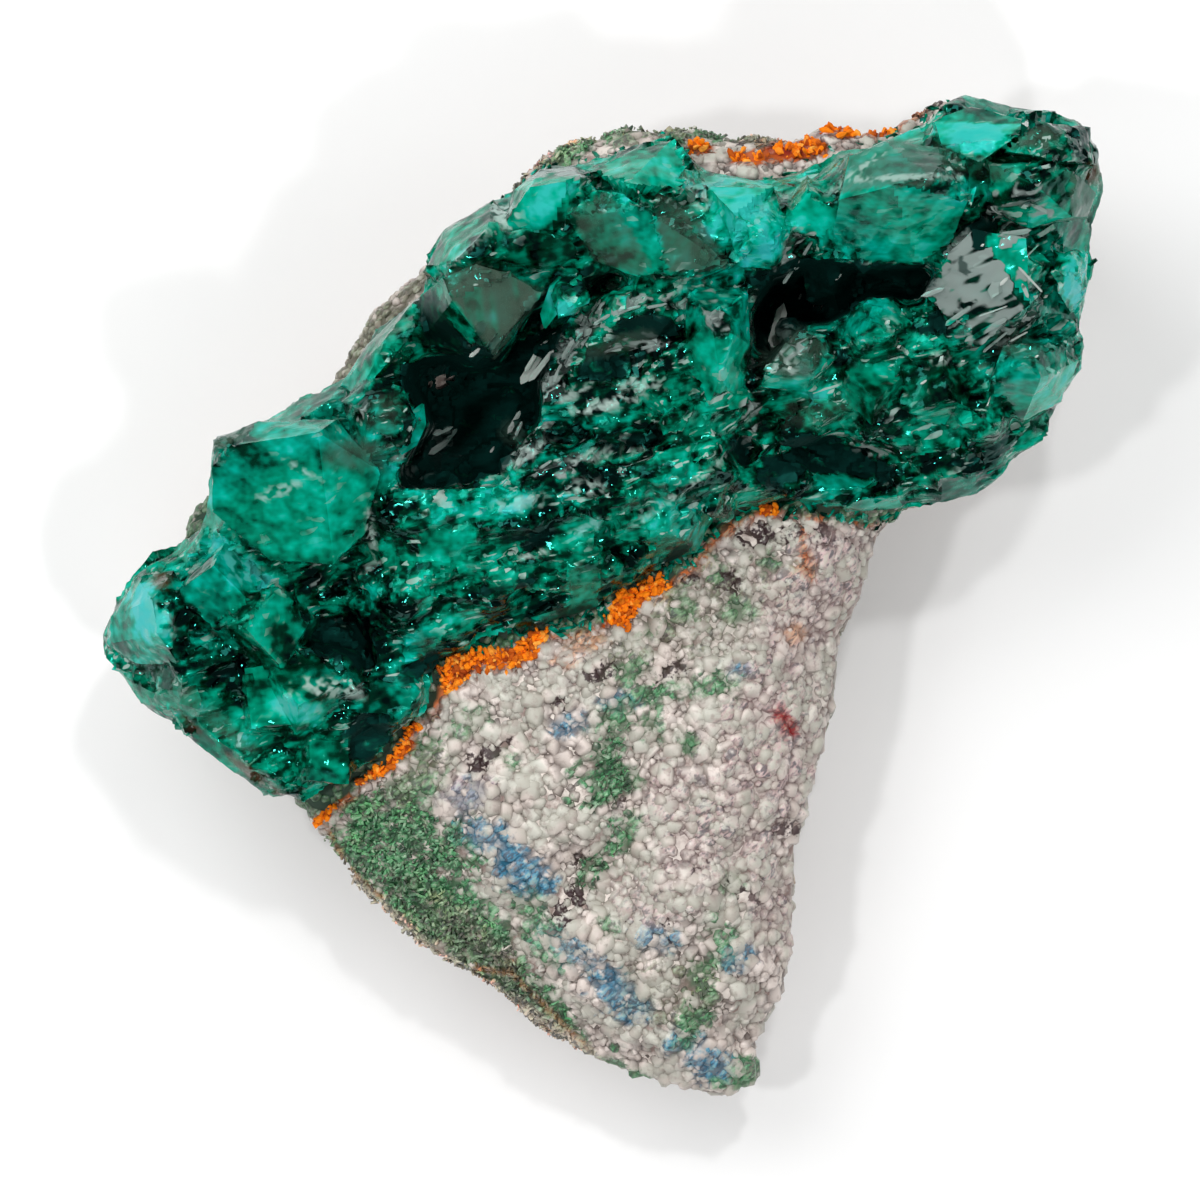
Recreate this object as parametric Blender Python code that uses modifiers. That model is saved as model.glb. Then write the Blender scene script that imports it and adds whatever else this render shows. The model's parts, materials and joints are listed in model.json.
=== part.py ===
"""Dioptase on matrix, as two solids: the pale rock, and the crust of green crystals grown together on it.

The specimen lies on its back with the crystals up. X runs to the right and Y away from the wedge's tip, seen from
above. The origin is at the bottom centre. Lengths below are in millimetres, and the finished meshes are in metres.
"""

import math
import random

import bmesh
import bpy
from mathutils import Matrix, Vector, noise

# Driving dimensions

MM = 0.001
GAP = 0.3  # between the rock and the crust that sits on it
ROCK_VOXEL = 0.62
CRUST_VOXEL = 0.45
ROCK_TRIANGLES = 2600
CRUST_TRIANGLES = 2300
BASE_INSET = 3.2  # how far the sides draw in from the widest line down to the flat base
EDGE_ROUND = 1.6  # radius of the worn upper edge
BED_STEP = 2.0  # cell of the bed that the crust is cut to
COVERED_DROP = 0.3  # how much lower the rock lies where the crust covers it
RHOMB_ANGLE = 51.0  # between the axis of a crystal and the normals of its three end faces
SEED = 20

# Plan outlines, clockwise from the left, seen from above

ROCK_OUTLINE = [
    (-18.4, 6.9), (-16.6, 8.3), (-14.6, 9.8), (-12.9, 11.8), (-12.3, 13.0), (-11.5, 14.5), (-10.0, 15.9),
    (-9.1, 17.0), (-7.2, 17.8), (-5.6, 19.2), (-4.9, 20.4), (-4.2, 21.2), (-3.0, 22.3), (-1.5, 22.9),
    (0.0, 23.5), (1.6, 24.1), (3.0, 23.7), (5.0, 23.8), (6.5, 23.3), (8.0, 23.5), (9.0, 23.0), (10.0, 23.0),
    (10.8, 23.7), (11.5, 24.1), (12.5, 23.8), (13.7, 23.5), (15.0, 24.0), (16.0, 24.6), (16.6, 25.4),
    (17.8, 25.2), (19.2, 24.2), (21.6, 23.4), (23.4, 22.5), (23.9, 20.4), (23.3, 18.4), (23.2, 16.0),
    (22.7, 13.8), (22.8, 12.0), (21.6, 9.8), (20.4, 8.2), (19.0, 6.4), (17.4, 5.6), (16.2, 4.6), (15.0, 4.0),
    (14.2, 3.0), (13.5, 1.0), (13.0, -0.5), (12.1, -2.0), (11.9, -4.5), (11.8, -6.0), (11.5, -8.0),
    (11.0, -10.0), (10.8, -11.4), (10.2, -12.0), (10.1, -14.0), (9.9, -16.0), (9.7, -17.7), (9.3, -19.5),
    (9.0, -20.8), (8.2, -22.0), (8.1, -23.2), (8.2, -24.2), (7.6, -25.1), (6.0, -25.5), (4.5, -25.2),
    (2.5, -24.6), (0.5, -23.7), (-0.5, -23.0), (-1.5, -22.3), (-3.0, -21.6), (-5.0, -20.0), (-6.0, -19.3),
    (-7.5, -18.5), (-9.0, -18.0), (-10.0, -17.0), (-11.0, -16.0), (-12.2, -14.9), (-13.0, -13.5),
    (-14.0, -12.0), (-15.0, -10.6), (-16.6, -8.8), (-18.2, -7.4), (-20.4, -5.6), (-22.4, -4.2), (-23.8, -2.6),
    (-23.4, -0.6), (-22.4, 1.0), (-21.6, 2.2), (-21.3, 3.0), (-21.5, 4.0), (-20.6, 4.9), (-19.6, 6.0),
]

CRUST_OUTLINE = [
    (-19.4, 8.2), (-16.8, 9.0), (-15.5, 10.0), (-13.0, 11.6), (-12.2, 12.4), (-11.2, 13.7), (-9.4, 15.2),
    (-8.9, 16.8), (-7.8, 18.7), (-6.5, 19.4), (-5.0, 20.3), (-4.2, 20.6), (-3.0, 21.6), (-1.2, 21.8),
    (-0.4, 22.0), (1.5, 22.7), (3.5, 23.4), (4.3, 22.6), (5.0, 21.6), (6.8, 21.1), (8.0, 21.0), (10.0, 21.5),
    (11.5, 22.4), (13.5, 22.7), (15.4, 23.5), (16.8, 24.6), (17.8, 25.3), (19.0, 25.2), (20.0, 24.8),
    (21.8, 24.6), (23.3, 24.2), (24.2, 23.9), (24.9, 22.7), (25.2, 20.4), (24.6, 19.0), (24.5, 17.0),
    (24.6, 16.0), (24.1, 14.2), (23.6, 14.0), (24.3, 13.0), (24.2, 11.5), (23.5, 10.8), (22.6, 9.2),
    (22.0, 8.0), (21.0, 7.3), (20.4, 7.0), (20.1, 6.0), (19.3, 5.4), (18.0, 5.1), (16.4, 4.7), (14.8, 3.8),
    (12.2, 3.8), (11.5, 4.0), (9.5, 4.3), (8.3, 4.6), (6.5, 3.8), (5.2, 2.8), (4.8, 1.9), (3.5, 1.0),
    (2.5, 0.9), (0.5, -0.9), (-1.5, -1.7), (-3.0, -1.8), (-5.0, -2.5), (-6.0, -2.8), (-7.7, -3.6),
    (-8.3, -5.3), (-9.6, -6.7), (-10.2, -8.3), (-11.9, -9.2), (-14.2, -10.9), (-14.9, -11.0), (-17.0, -9.8),
    (-18.5, -8.6), (-20.0, -7.5), (-21.5, -6.2), (-23.5, -5.0), (-24.0, -4.0), (-25.2, -2.7), (-25.2, -1.8),
    (-24.5, -0.5), (-24.1, 0.7), (-23.0, 1.8), (-22.5, 2.6), (-21.0, 2.9), (-19.8, 3.8), (-19.5, 6.5),
]

# Heights above the base at points read off the specimen: x, y, z

ROCK_HEIGHTS = [
    (-14.5, -11.0, 11.4), (-10.0, -8.0, 12.2), (-5.0, -3.0, 12.8), (0.0, -1.4, 12.9), (5.0, 2.0, 13.1),
    (10.0, 3.8, 13.0), (14.0, 3.0, 12.0), (-11.0, -13.0, 10.4), (-6.5, -8.0, 12.3), (-2.0, -6.0, 12.8),
    (3.0, -4.0, 12.9), (8.0, -1.0, 12.6), (11.0, -3.0, 11.6), (-9.0, -16.0, 9.6), (-4.0, -12.0, 11.6),
    (0.5, -9.5, 12.0), (5.0, -9.0, 12.2), (9.5, -9.0, 11.2), (-4.5, -18.0, 9.4), (0.0, -15.0, 10.9),
    (4.5, -14.0, 11.3), (8.5, -15.0, 10.4), (0.5, -21.0, 9.2), (4.5, -20.0, 9.8), (6.5, -23.5, 8.6),
    (-22.0, -1.5, 7.4), (-20.0, 3.0, 9.4), (-19.6, 5.0, 10.2), (-17.0, -6.5, 8.6), (-17.0, 1.0, 11.0),
    (-13.0, -3.0, 11.4), (-13.0, 6.0, 11.8), (-7.0, 1.5, 12.2), (-6.0, 9.0, 10.2), (0.0, 4.0, 12.6),
    (1.0, 11.0, 12.0), (8.0, 8.0, 12.2), (9.5, 15.0, 10.2), (15.0, 10.0, 11.6), (20.0, 9.0, 9.4),
    (22.5, 14.0, 9.0), (23.0, 21.0, 10.0), (18.0, 18.0, 12.2), (-12.3, 12.2, 14.4), (-9.8, 15.6, 14.8),
    (-7.0, 17.4, 13.4), (-4.2, 20.8, 15.0), (-1.5, 22.4, 15.2), (1.8, 23.6, 15.0), (5.0, 23.2, 14.8),
    (8.0, 22.6, 15.4), (11.0, 23.2, 15.4), (14.0, 23.2, 15.6), (16.6, 25.0, 14.4), (3.0, 19.0, 13.2),
    (12.0, 19.0, 13.2),
]

CRUST_HEIGHTS = [
    (-23.6, -2.8, 11.6), (-22.5, -0.6, 13.6), (-21.0, 1.2, 13.8), (-20.0, -3.0, 14.2), (-17.5, -6.4, 13.4),
    (-15.4, -9.6, 12.4), (-18.6, 1.8, 15.2), (-17.0, 4.6, 16.6), (-15.0, 6.4, 17.6), (-12.6, 1.4, 14.6),
    (-13.4, -2.0, 13.2), (-15.2, -4.8, 14.6), (-11.8, -6.2, 13.6), (-11.6, -8.4, 12.6), (-9.5, 5.0, 17.8),
    (-6.8, 5.2, 17.8), (-4.0, 5.6, 18.0), (0.0, 5.9, 18.4), (3.0, 6.3, 18.4), (6.0, 6.6, 17.6),
    (-9.4, 1.0, 16.6), (-5.0, 1.2, 16.2), (-1.0, 2.2, 16.4), (3.0, 3.4, 16.4), (-7.6, -1.6, 14.6),
    (-3.2, -0.6, 14.2), (1.0, 0.8, 14.4), (-9.6, -4.4, 13.8), (-14.2, -10.6, 12.0), (-10.0, -7.8, 12.4),
    (-7.8, -3.6, 12.8), (-5.0, -2.4, 13.0), (0.2, -0.9, 13.1), (3.6, 1.2, 13.3), (6.5, 3.9, 13.4),
    (10.0, 4.4, 13.4), (14.6, 4.1, 12.6), (0.2, 12.0, 18.2), (2.0, 14.4, 18.4), (4.0, 11.0, 18.6),
    (5.8, 13.0, 18.8), (1.0, 9.0, 17.6), (-1.4, 11.0, 17.4), (6.6, 10.0, 17.4), (-12.2, 10.2, 16.4),
    (-10.2, 12.0, 17.0), (-10.4, 8.0, 17.0), (-7.0, 15.0, 19.0), (-4.0, 18.0, 19.2), (-1.0, 19.0, 19.6),
    (2.0, 20.0, 19.4), (3.2, 17.2, 19.8), (6.2, 19.0, 19.0), (9.0, 18.0, 18.8), (12.0, 19.4, 19.6),
    (16.0, 20.0, 20.0), (19.0, 20.6, 19.6), (22.0, 21.0, 18.6), (24.2, 22.0, 15.6), (-13.0, 11.6, 14.8),
    (-9.2, 15.8, 16.2), (-5.2, 19.8, 16.8), (0.0, 21.6, 17.4), (5.2, 21.0, 16.8), (10.0, 21.0, 17.0),
    (15.0, 23.2, 17.4), (20.0, 24.2, 16.8), (18.0, 16.0, 18.4), (20.4, 15.0, 18.2), (22.4, 12.0, 16.2),
    (22.0, 9.0, 13.8), (18.0, 10.0, 16.8), (19.0, 7.0, 14.6), (24.0, 16.0, 15.4), (10.0, 11.0, 16.6),
    (13.4, 13.0, 16.6), (14.0, 10.0, 16.4), (16.2, 8.0, 15.6), (11.0, 9.0, 15.2), (12.0, 7.0, 13.9),
    (8.0, 8.2, 15.4), (7.4, 6.0, 15.4), (10.2, 5.6, 14.4), (15.0, 5.6, 13.8), (18.0, 6.2, 13.8),
]

# The two deep hollows between the crystals, by outline and depth

DEEP_HOLLOWS = [
    ([(-8.9, 12.4), (-6.2, 11.8), (-5.0, 12.0), (-3.6, 14.2), (-1.6, 15.6), (1.0, 16.2), (1.4, 15.6), (-0.6, 15.0),
      (-2.6, 13.2), (-3.0, 11.0), (-3.2, 9.0), (-4.5, 7.0), (-5.0, 5.9), (-9.9, 5.6), (-9.6, 7.4), (-8.4, 8.8),
      (-9.6, 11.2)], 7.8),
    ([(8.6, 16.2), (11.0, 16.7), (13.5, 16.4), (16.6, 16.6), (16.2, 15.0), (13.0, 15.2), (11.6, 13.9),
      (10.0, 13.9), (8.6, 12.2), (7.7, 12.4), (7.6, 14.2)], 7.6),
]

# Shallow hollows: x, y, half length, half width, turn in degrees, depth

HOLLOWS = [
    (12.0, 7.0, 3.0, 0.9, -14, 2.4),
    (-13.4, -2.1, 2.2, 1.1, -30, 2.2),
    (-11.6, -6.9, 1.2, 0.9, 40, 1.5),
    (-12.6, 1.0, 1.2, 0.6, 30, 1.6),
    (6.9, 7.6, 1.0, 0.9, 0, 2.0),
    (-3.0, 0.3, 1.2, 0.6, 10, 1.5),
    (1.5, 13.4, 1.2, 0.7, 20, 1.8),
    (0.5, 11.6, 1.4, 0.6, 15, 1.6),
    (-1.8, 8.3, 1.3, 0.7, 5, 2.0),
    (1.8, 8.0, 1.4, 0.6, 5, 1.6),
    (7.6, 11.4, 0.8, 1.6, 10, 2.0),
    (-8.2, 15.8, 0.7, 1.2, 20, 1.6),
    (10.3, 18.2, 0.7, 1.8, -10, 1.6),
]

# Main blocks, by the corners of what shows of each from above: x, y, z. The hull of these and of the same corners
# carried down is the block, so each one's flat faces lie as on the specimen

BLOCKS = [
    ("block_left", 9.0, [(-19.2, 8.0, 18.8), (-17.0, 8.9, 19.2), (-13.0, 9.0, 19.8), (-17.9, 7.7, 21.0),
                         (-13.9, 8.3, 21.4), (-19.2, 6.6, 20.0), (-19.2, 4.4, 18.7), (-16.4, 2.0, 17.5),
                         (-13.2, 1.8, 17.3), (-10.8, 6.4, 18.6), (-11.6, 3.4, 17.2)]),
    ("dark_left", 8.0, [(-12.9, 9.9, 18.2), (-11.4, 11.1, 18.6), (-9.7, 10.6, 18.8), (-9.0, 8.8, 18.6),
                        (-9.9, 7.4, 18.6), (-11.8, 7.0, 18.8), (-11.4, 9.2, 20.6), (-10.3, 8.7, 20.4)]),
    ("strip", 7.0, [(-13.0, 10.7, 16.2), (-11.6, 12.8, 16.6), (-9.2, 15.0, 17.6), (-9.0, 13.6, 19.6),
                    (-10.4, 11.8, 19.0), (-12.0, 10.2, 18.0), (-10.6, 13.0, 19.2)]),
    ("lobe", 7.0, [(-24.6, -0.8, 12.0), (-23.2, 1.2, 13.2), (-21.2, 1.6, 14.8), (-20.2, -0.6, 15.2),
                   (-21.0, -3.2, 14.8), (-23.4, -3.2, 12.4), (-24.9, -2.2, 11.2), (-22.3, 0.1, 16.2),
                   (-22.0, -1.7, 16.0)]),
    ("left_facet", 8.0, [(-8.8, 16.3, 18.2), (-7.8, 18.3, 17.4), (-5.3, 19.9, 17.8), (-4.4, 18.9, 19.2),
                         (-5.6, 18.3, 20.8), (-7.1, 16.8, 21.2), (-4.9, 16.8, 20.6), (-7.8, 15.6, 19.4)]),
    ("kite", 11.0, [(-7.8, 15.9, 22.2), (-6.1, 16.6, 22.1), (-4.5, 16.1, 21.6), (-2.9, 15.2, 20.8),
                    (-5.3, 12.1, 21.3), (-7.3, 14.7, 22.6), (-9.0, 15.0, 18.6), (-8.9, 12.9, 17.8),
                    (-7.2, 12.3, 18.6)]),
    ("back_left", 8.0, [(-4.3, 20.3, 18.8), (-3.0, 21.4, 18.6), (-1.2, 21.5, 18.6), (-0.3, 20.6, 20.4),
                        (-1.4, 20.7, 21.4), (-3.5, 20.4, 21.0), (-1.7, 18.7, 20.4), (-2.6, 18.0, 20.0),
                        (-4.9, 18.4, 19.4)]),
    ("back_dark", 7.0, [(-5.8, 18.2, 19.6), (-3.4, 18.4, 20.8), (-1.6, 18.0, 20.8), (-0.8, 16.8, 19.8),
                        (-3.0, 16.2, 19.4), (-5.6, 16.9, 20.2)]),
    ("striated", 9.0, [(-1.7, 18.9, 21.2), (-0.4, 20.3, 21.4), (1.2, 20.0, 22.2), (2.5, 19.2, 22.4),
                       (3.3, 16.3, 20.8), (1.9, 15.9, 20.0), (-0.3, 16.7, 19.8)]),
    ("striated_right", 8.0, [(2.6, 18.9, 22.0), (4.0, 18.8, 21.2), (6.6, 16.4, 19.6), (4.8, 15.9, 19.4),
                             (3.1, 15.9, 20.6)]),
    ("back_top", 7.0, [(-0.6, 21.3, 18.0), (1.5, 22.3, 17.6), (3.5, 22.9, 17.2), (4.2, 21.8, 18.0),
                       (3.9, 20.2, 19.6), (2.4, 19.1, 21.0), (1.3, 20.6, 21.0)]),
    ("teal", 8.0, [(5.3, 20.5, 19.0), (8.6, 20.5, 19.2), (9.5, 18.2, 19.4), (8.8, 16.1, 18.6), (6.5, 16.8, 19.2),
                   (6.6, 19.0, 21.0), (8.0, 18.2, 21.2)]),
    ("great_right", 11.0, [(11.7, 19.7, 21.8), (12.2, 21.9, 20.6), (14.0, 22.7, 20.6), (17.2, 22.3, 20.6),
                           (18.2, 21.2, 21.2), (18.1, 19.7, 22.0), (14.3, 20.3, 23.6), (16.2, 20.8, 23.4),
                           (11.3, 17.3, 18.8), (13.0, 16.4, 18.2), (15.8, 16.5, 18.4), (17.3, 17.6, 19.4)]),
    ("bright", 8.0, [(16.4, 23.7, 19.6), (18.3, 24.5, 18.8), (20.8, 23.8, 20.2), (20.6, 22.9, 21.4),
                     (18.6, 21.5, 21.8), (16.8, 22.4, 21.0)]),
    ("corner", 9.0, [(19.9, 22.1, 21.2), (21.6, 23.6, 21.0), (22.9, 23.3, 20.8), (24.3, 23.5, 18.0),
                     (24.5, 21.5, 18.0), (22.1, 21.7, 22.0), (23.5, 21.8, 20.6)]),
    ("mottled", 9.0, [(19.1, 21.6, 20.6), (22.2, 21.7, 21.4), (23.3, 21.2, 20.6), (23.3, 18.9, 19.6),
                      (21.0, 18.3, 19.8), (19.3, 19.2, 20.4), (21.4, 20.4, 22.2), (24.6, 20.2, 17.4),
                      (24.2, 19.0, 17.2)]),
    ("right_teal", 7.0, [(22.4, 17.4, 18.0), (24.2, 17.3, 16.6), (24.2, 15.2, 16.0), (23.4, 14.2, 16.4),
                         (22.6, 15.2, 18.4), (23.2, 16.4, 18.6)]),
    ("fan", 9.0, [(16.0, 15.2, 19.0), (17.2, 17.2, 21.0), (18.3, 18.3, 21.6), (21.0, 17.9, 21.0),
                  (21.2, 14.6, 20.0), (18.6, 12.4, 18.2), (17.0, 13.8, 18.4)]),
    ("grey_round", 8.0, [(7.8, 10.6, 17.0), (8.7, 12.2, 18.0), (9.9, 13.5, 17.8), (11.0, 13.4, 17.6),
                         (11.8, 12.0, 17.4), (10.2, 10.3, 16.8), (9.7, 12.1, 19.4), (10.6, 11.8, 19.0)]),
    ("green_round", 8.0, [(11.9, 13.0, 17.4), (12.6, 14.9, 17.2), (14.4, 15.1, 17.4), (15.5, 13.8, 17.6),
                          (14.8, 12.2, 17.6), (13.0, 11.7, 17.4), (13.4, 13.9, 19.4), (14.2, 13.2, 19.5),
                          (12.9, 13.1, 19.1)]),
    ("right_bulge", 8.0, [(19.2, 10.6, 17.6), (19.9, 12.7, 18.2), (22.4, 12.9, 17.2), (23.9, 12.0, 15.2),
                          (23.0, 9.9, 14.4), (21.0, 8.8, 15.0), (20.9, 11.7, 19.2), (21.8, 11.0, 18.6)]),
    ("hump_back", 8.0, [(-0.9, 14.0, 18.4), (0.6, 15.2, 18.6), (2.9, 15.7, 18.8), (4.0, 14.2, 19.4),
                        (2.6, 12.6, 18.6), (0.4, 12.6, 18.2), (1.9, 14.2, 20.2), (3.2, 13.6, 20.0)]),
    ("hump_left", 8.0, [(-2.8, 10.6, 16.6), (-1.8, 12.8, 17.2), (0.2, 12.8, 17.8), (1.2, 10.4, 18.0),
                        (-0.6, 9.2, 17.2), (-2.6, 9.2, 16.4), (-0.9, 11.4, 19.2)]),
    ("pillar", 9.0, [(4.2, 15.6, 19.0), (7.3, 15.5, 18.6), (7.5, 12.6, 18.6), (6.9, 9.4, 17.6), (5.2, 9.3, 18.0),
                     (4.2, 12.6, 19.2), (5.4, 13.9, 20.8), (6.5, 13.2, 20.6), (5.9, 11.0, 19.8)]),
]

# Other crystals, by the point of each: x, y, z, radius, length, lean, way it leans, spin (degrees)

CRYSTALS = [
    ("block_left_low", -12.4, 3.4, 18.0, 1.9, 7.0, 26, 330, 35),
    ("lobe_top", -19.2, 1.8, 17.2, 2.2, 8.0, 26, 110, 0),
    ("lobe_low", -21.0, -4.0, 15.0, 2.7, 8.0, 38, 235, 50),
    ("left_mid", -17.6, -1.4, 16.8, 2.5, 8.0, 14, 200, 15),
    ("left_foot", -17.4, -6.4, 15.0, 2.7, 7.5, 42, 235, 25),
    ("foot_top", -15.0, -5.2, 16.4, 2.2, 8.0, 18, 250, 40),
    ("foot_corner", -14.6, -9.0, 13.8, 1.8, 5.0, 42, 240, 5),
    ("foot_right", -12.4, -4.4, 15.2, 1.6, 6.0, 24, 320, 55),
    ("kite_side", -8.9, 13.6, 19.0, 1.3, 7.0, 22, 190, 25),
    ("emerald", -1.7, 14.7, 20.2, 1.1, 7.0, 16, 250, 22),
    ("teal_back", 5.0, 20.2, 19.2, 1.5, 6.0, 34, 96, 55),
    ("hump_mid", 1.6, 10.2, 18.8, 1.9, 8.0, 14, 270, 50),
    ("hump_right", 3.6, 11.8, 19.4, 1.7, 8.0, 16, 200, 26),
    ("hump_front", 3.6, 8.9, 19.0, 1.9, 8.0, 28, 285, 0),
    ("hump_low", -0.6, 8.8, 18.0, 1.5, 7.0, 26, 260, 12),
    ("great_side", 11.7, 18.0, 20.2, 1.5, 7.0, 28, 215, 5),
    ("back_gap", 10.2, 20.3, 19.8, 1.8, 7.0, 32, 110, 15),
    ("back_rim", 12.6, 21.9, 19.2, 1.4, 6.0, 36, 100, 45),
    ("corner_edge", 24.0, 22.4, 17.6, 1.4, 6.0, 42, 40, 10),
    ("mottled_side", 23.9, 19.6, 17.2, 1.5, 7.0, 42, 5, 26),
    ("fan_right", 21.4, 16.6, 20.4, 1.5, 7.0, 18, 20, 18),
    ("fan_low", 20.6, 14.0, 19.2, 1.8, 7.0, 26, 300, 0),
    ("arrow", 9.0, 13.8, 15.6, 0.8, 5.0, 24, 140, 8),
    ("speck", 16.6, 12.5, 18.6, 1.4, 6.0, 16, 330, 22),
    ("mid_low", 13.6, 10.0, 18.2, 1.9, 7.0, 20, 280, 16),
    ("mid_right", 17.2, 10.0, 18.4, 2.1, 8.0, 18, 310, 52),
    ("right_edge", 23.0, 13.2, 15.8, 1.3, 6.0, 42, 345, 8),
    ("right_foot", 20.2, 8.4, 15.6, 1.6, 6.0, 42, 310, 24),
    ("low_right", 17.6, 7.4, 15.8, 1.7, 6.0, 36, 290, 44),
    ("low_mid", 11.0, 9.0, 16.8, 1.6, 6.0, 22, 260, 20),
    ("low_seam", 14.8, 5.5, 14.4, 1.1, 4.0, 42, 280, 10),
    ("low_seam_left", 9.4, 5.3, 14.9, 1.2, 5.0, 38, 265, 40),
    ("ledge_a", -8.2, 3.4, 17.7, 1.5, 2.4, 34, 262, 20),
    ("ledge_b", -5.2, 3.5, 17.7, 1.4, 2.4, 34, 275, 50),
    ("ledge_c", -1.8, 4.4, 18.2, 1.6, 3.0, 30, 268, 5),
    ("ledge_d", 1.8, 5.0, 18.6, 1.6, 6.0, 32, 285, 33),
    ("ledge_e", 4.9, 5.8, 18.0, 1.5, 6.0, 30, 290, 14),
    ("pale_long", -3.3, 12.2, 16.6, 0.6, 5.0, 34, 220, 25),
    ("cavity_grey", -4.6, 8.4, 14.8, 0.8, 5.0, 22, 200, 10),
    ("cavity_floor", -8.6, 9.8, 12.6, 0.7, 3.0, 18, 300, 30),
]

SMALL_CRYSTALS = 36
SMALL_RADIUS = (0.65, 1.25)

# Marks on the open face of the rock: x, y, radius, depth (a lump where the depth is below zero)

ROCK_MARKS = [
    (7.8, 3.0, 0.7, 1.0), (6.4, 0.9, 0.6, 0.8), (3.3, -3.7, 0.6, 0.7), (-1.2, -13.1, 0.6, 0.8),
    (-1.3, -14.8, 0.5, 0.7), (9.5, -11.5, 0.6, 0.7), (11.5, 3.6, 0.7, 0.5), (-5.9, -8.0, 0.6, 0.7),
    (4.6, -7.4, 0.6, 0.5), (-9.6, -12.6, 1.6, -0.5), (-4.6, -10.4, 2.0, -0.5), (6.8, -6.6, 2.4, -0.6),
    (4.6, -15.0, 2.2, -0.5), (8.2, -3.0, 1.6, -0.4), (-2.6, -16.2, 1.8, -0.4), (2.2, -19.0, 1.8, -0.4),
    (-1.0, -4.4, 1.6, -0.4), (6.6, -22.4, 1.2, -0.4),
]
CREASE = [(4.2, -3.4), (3.0, -6.5), (1.5, -10.0), (1.0, -13.0), (-0.6, -16.0)]
CREASE_DEPTH = 0.8
CREASE_WIDTH = 0.9


# Helpers


def clear_scene():
    for ob in list(bpy.data.objects):
        bpy.data.objects.remove(ob, do_unlink=True)


def make_collection(name):
    found = bpy.data.collections.new(name)
    bpy.context.scene.collection.children.link(found)
    return found


def evaluated_mesh(ob, name):
    """The mesh of an object with its modifiers applied, as a new mesh."""
    graph = bpy.context.evaluated_depsgraph_get()
    graph.update()
    return bpy.data.meshes.new_from_object(ob.evaluated_get(graph), depsgraph=graph)


def bake(ob):
    """Apply an object's modifiers to its own mesh."""
    mesh = evaluated_mesh(ob, ob.name)
    old = ob.data
    ob.modifiers.clear()
    ob.data = mesh
    mesh.name = ob.name
    if old.users == 0:
        bpy.data.batch_remove([old])


def smooth(t):
    t = min(1.0, max(0.0, t))
    return t * t * (3.0 - 2.0 * t)


def nearest_on_line(x, y, points, closed):
    """Distance from (x, y) to a line through points, and the nearest place on it."""
    best, place = 1e9, (x, y)
    count = len(points) if closed else len(points) - 1
    for i in range(count):
        ax, ay = points[i]
        bx, by = points[(i + 1) % len(points)]
        dx, dy = bx - ax, by - ay
        along = ((x - ax) * dx + (y - ay) * dy) / (dx * dx + dy * dy)
        along = min(1.0, max(0.0, along))
        px, py = ax + along * dx, ay + along * dy
        away = math.hypot(x - px, y - py)
        if away < best:
            best, place = away, (px, py)
    return best, place


def height_at(x, y, heights):
    """Height at (x, y) as a mean of the listed heights, the near ones far outweighing the rest."""
    total = weight = 0.0
    for px, py, pz in heights:
        near = 1.0 / (((x - px) ** 2 + (y - py) ** 2) + 0.35) ** 2
        total += near * pz
        weight += near
    return total / weight


def inward_at(x, y, outline):
    """Direction into the outline near its wall: the walls' own inward directions, the nearest ones most."""
    pull_x = pull_y = 0.0
    for i, (bx, by) in enumerate(outline):
        ax, ay = outline[i - 1]
        dx, dy = bx - ax, by - ay
        length = math.hypot(dx, dy)
        along = min(1.0, max(0.0, ((x - ax) * dx + (y - ay) * dy) / (length * length)))
        away = math.hypot(x - ax - along * dx, y - ay - along * dy)
        near = length / (away + 1.2) ** 4
        pull_x += dy / length * near
        pull_y -= dx / length * near
    total = math.hypot(pull_x, pull_y)
    return Vector((pull_x / total, pull_y / total)) if total > 1e-9 else Vector((0.0, 0.0))


def noise_at(x, y, z, size, seed):
    return noise.noise(Vector((x / size + seed * 3.7, y / size - seed * 1.9, z / size + seed * 5.3)))


def facet_height(x, y, size, steep):
    """Height of a field of small tilted planes, one for each cell, as on a crust of grown-together crystals."""
    places, cells = noise.voronoi(Vector((x / size, y / size, 0.37)))[0:2]
    cell = cells[0]
    tilt_x = noise.noise(Vector((cell[0] * 7.1, cell[1] * 5.3, 2.0)))
    tilt_y = noise.noise(Vector((cell[0] * 6.3, cell[1] * 8.7, 9.0)))
    lift = noise.noise(Vector((cell[0] * 9.9, cell[1] * 4.1, 5.0)))
    return steep * (lift + tilt_x * (x / size - cell[0]) * 1.6 + tilt_y * (y / size - cell[1]) * 1.6)


def seat_height(x, y):
    """Middle of the gap between the rock and the crust."""
    return height_at(x, y, ROCK_HEIGHTS)


SEAT_CACHE = {}


def lowest_seat(x, y):
    """Height of the crust's bed at (x, y), on the low side of its flat cells, for the rock to stay below."""
    column, row = math.floor(x / BED_STEP), math.floor(y / BED_STEP)
    for key in ((column, row), (column + 1, row), (column, row + 1), (column + 1, row + 1)):
        if key not in SEAT_CACHE:
            SEAT_CACHE[key] = seat_height(key[0] * BED_STEP, key[1] * BED_STEP)
    u, v = x / BED_STEP - column, y / BED_STEP - row
    a, b = SEAT_CACHE[(column, row)], SEAT_CACHE[(column + 1, row)]
    c, d = SEAT_CACHE[(column, row + 1)], SEAT_CACHE[(column + 1, row + 1)]
    blend = a * (1 - u) * (1 - v) + b * u * (1 - v) + c * (1 - u) * v + d * u * v
    twist = abs(a + d - b - c)
    return blend - twist * min(u, 1 - u, v, 1 - v)


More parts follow.
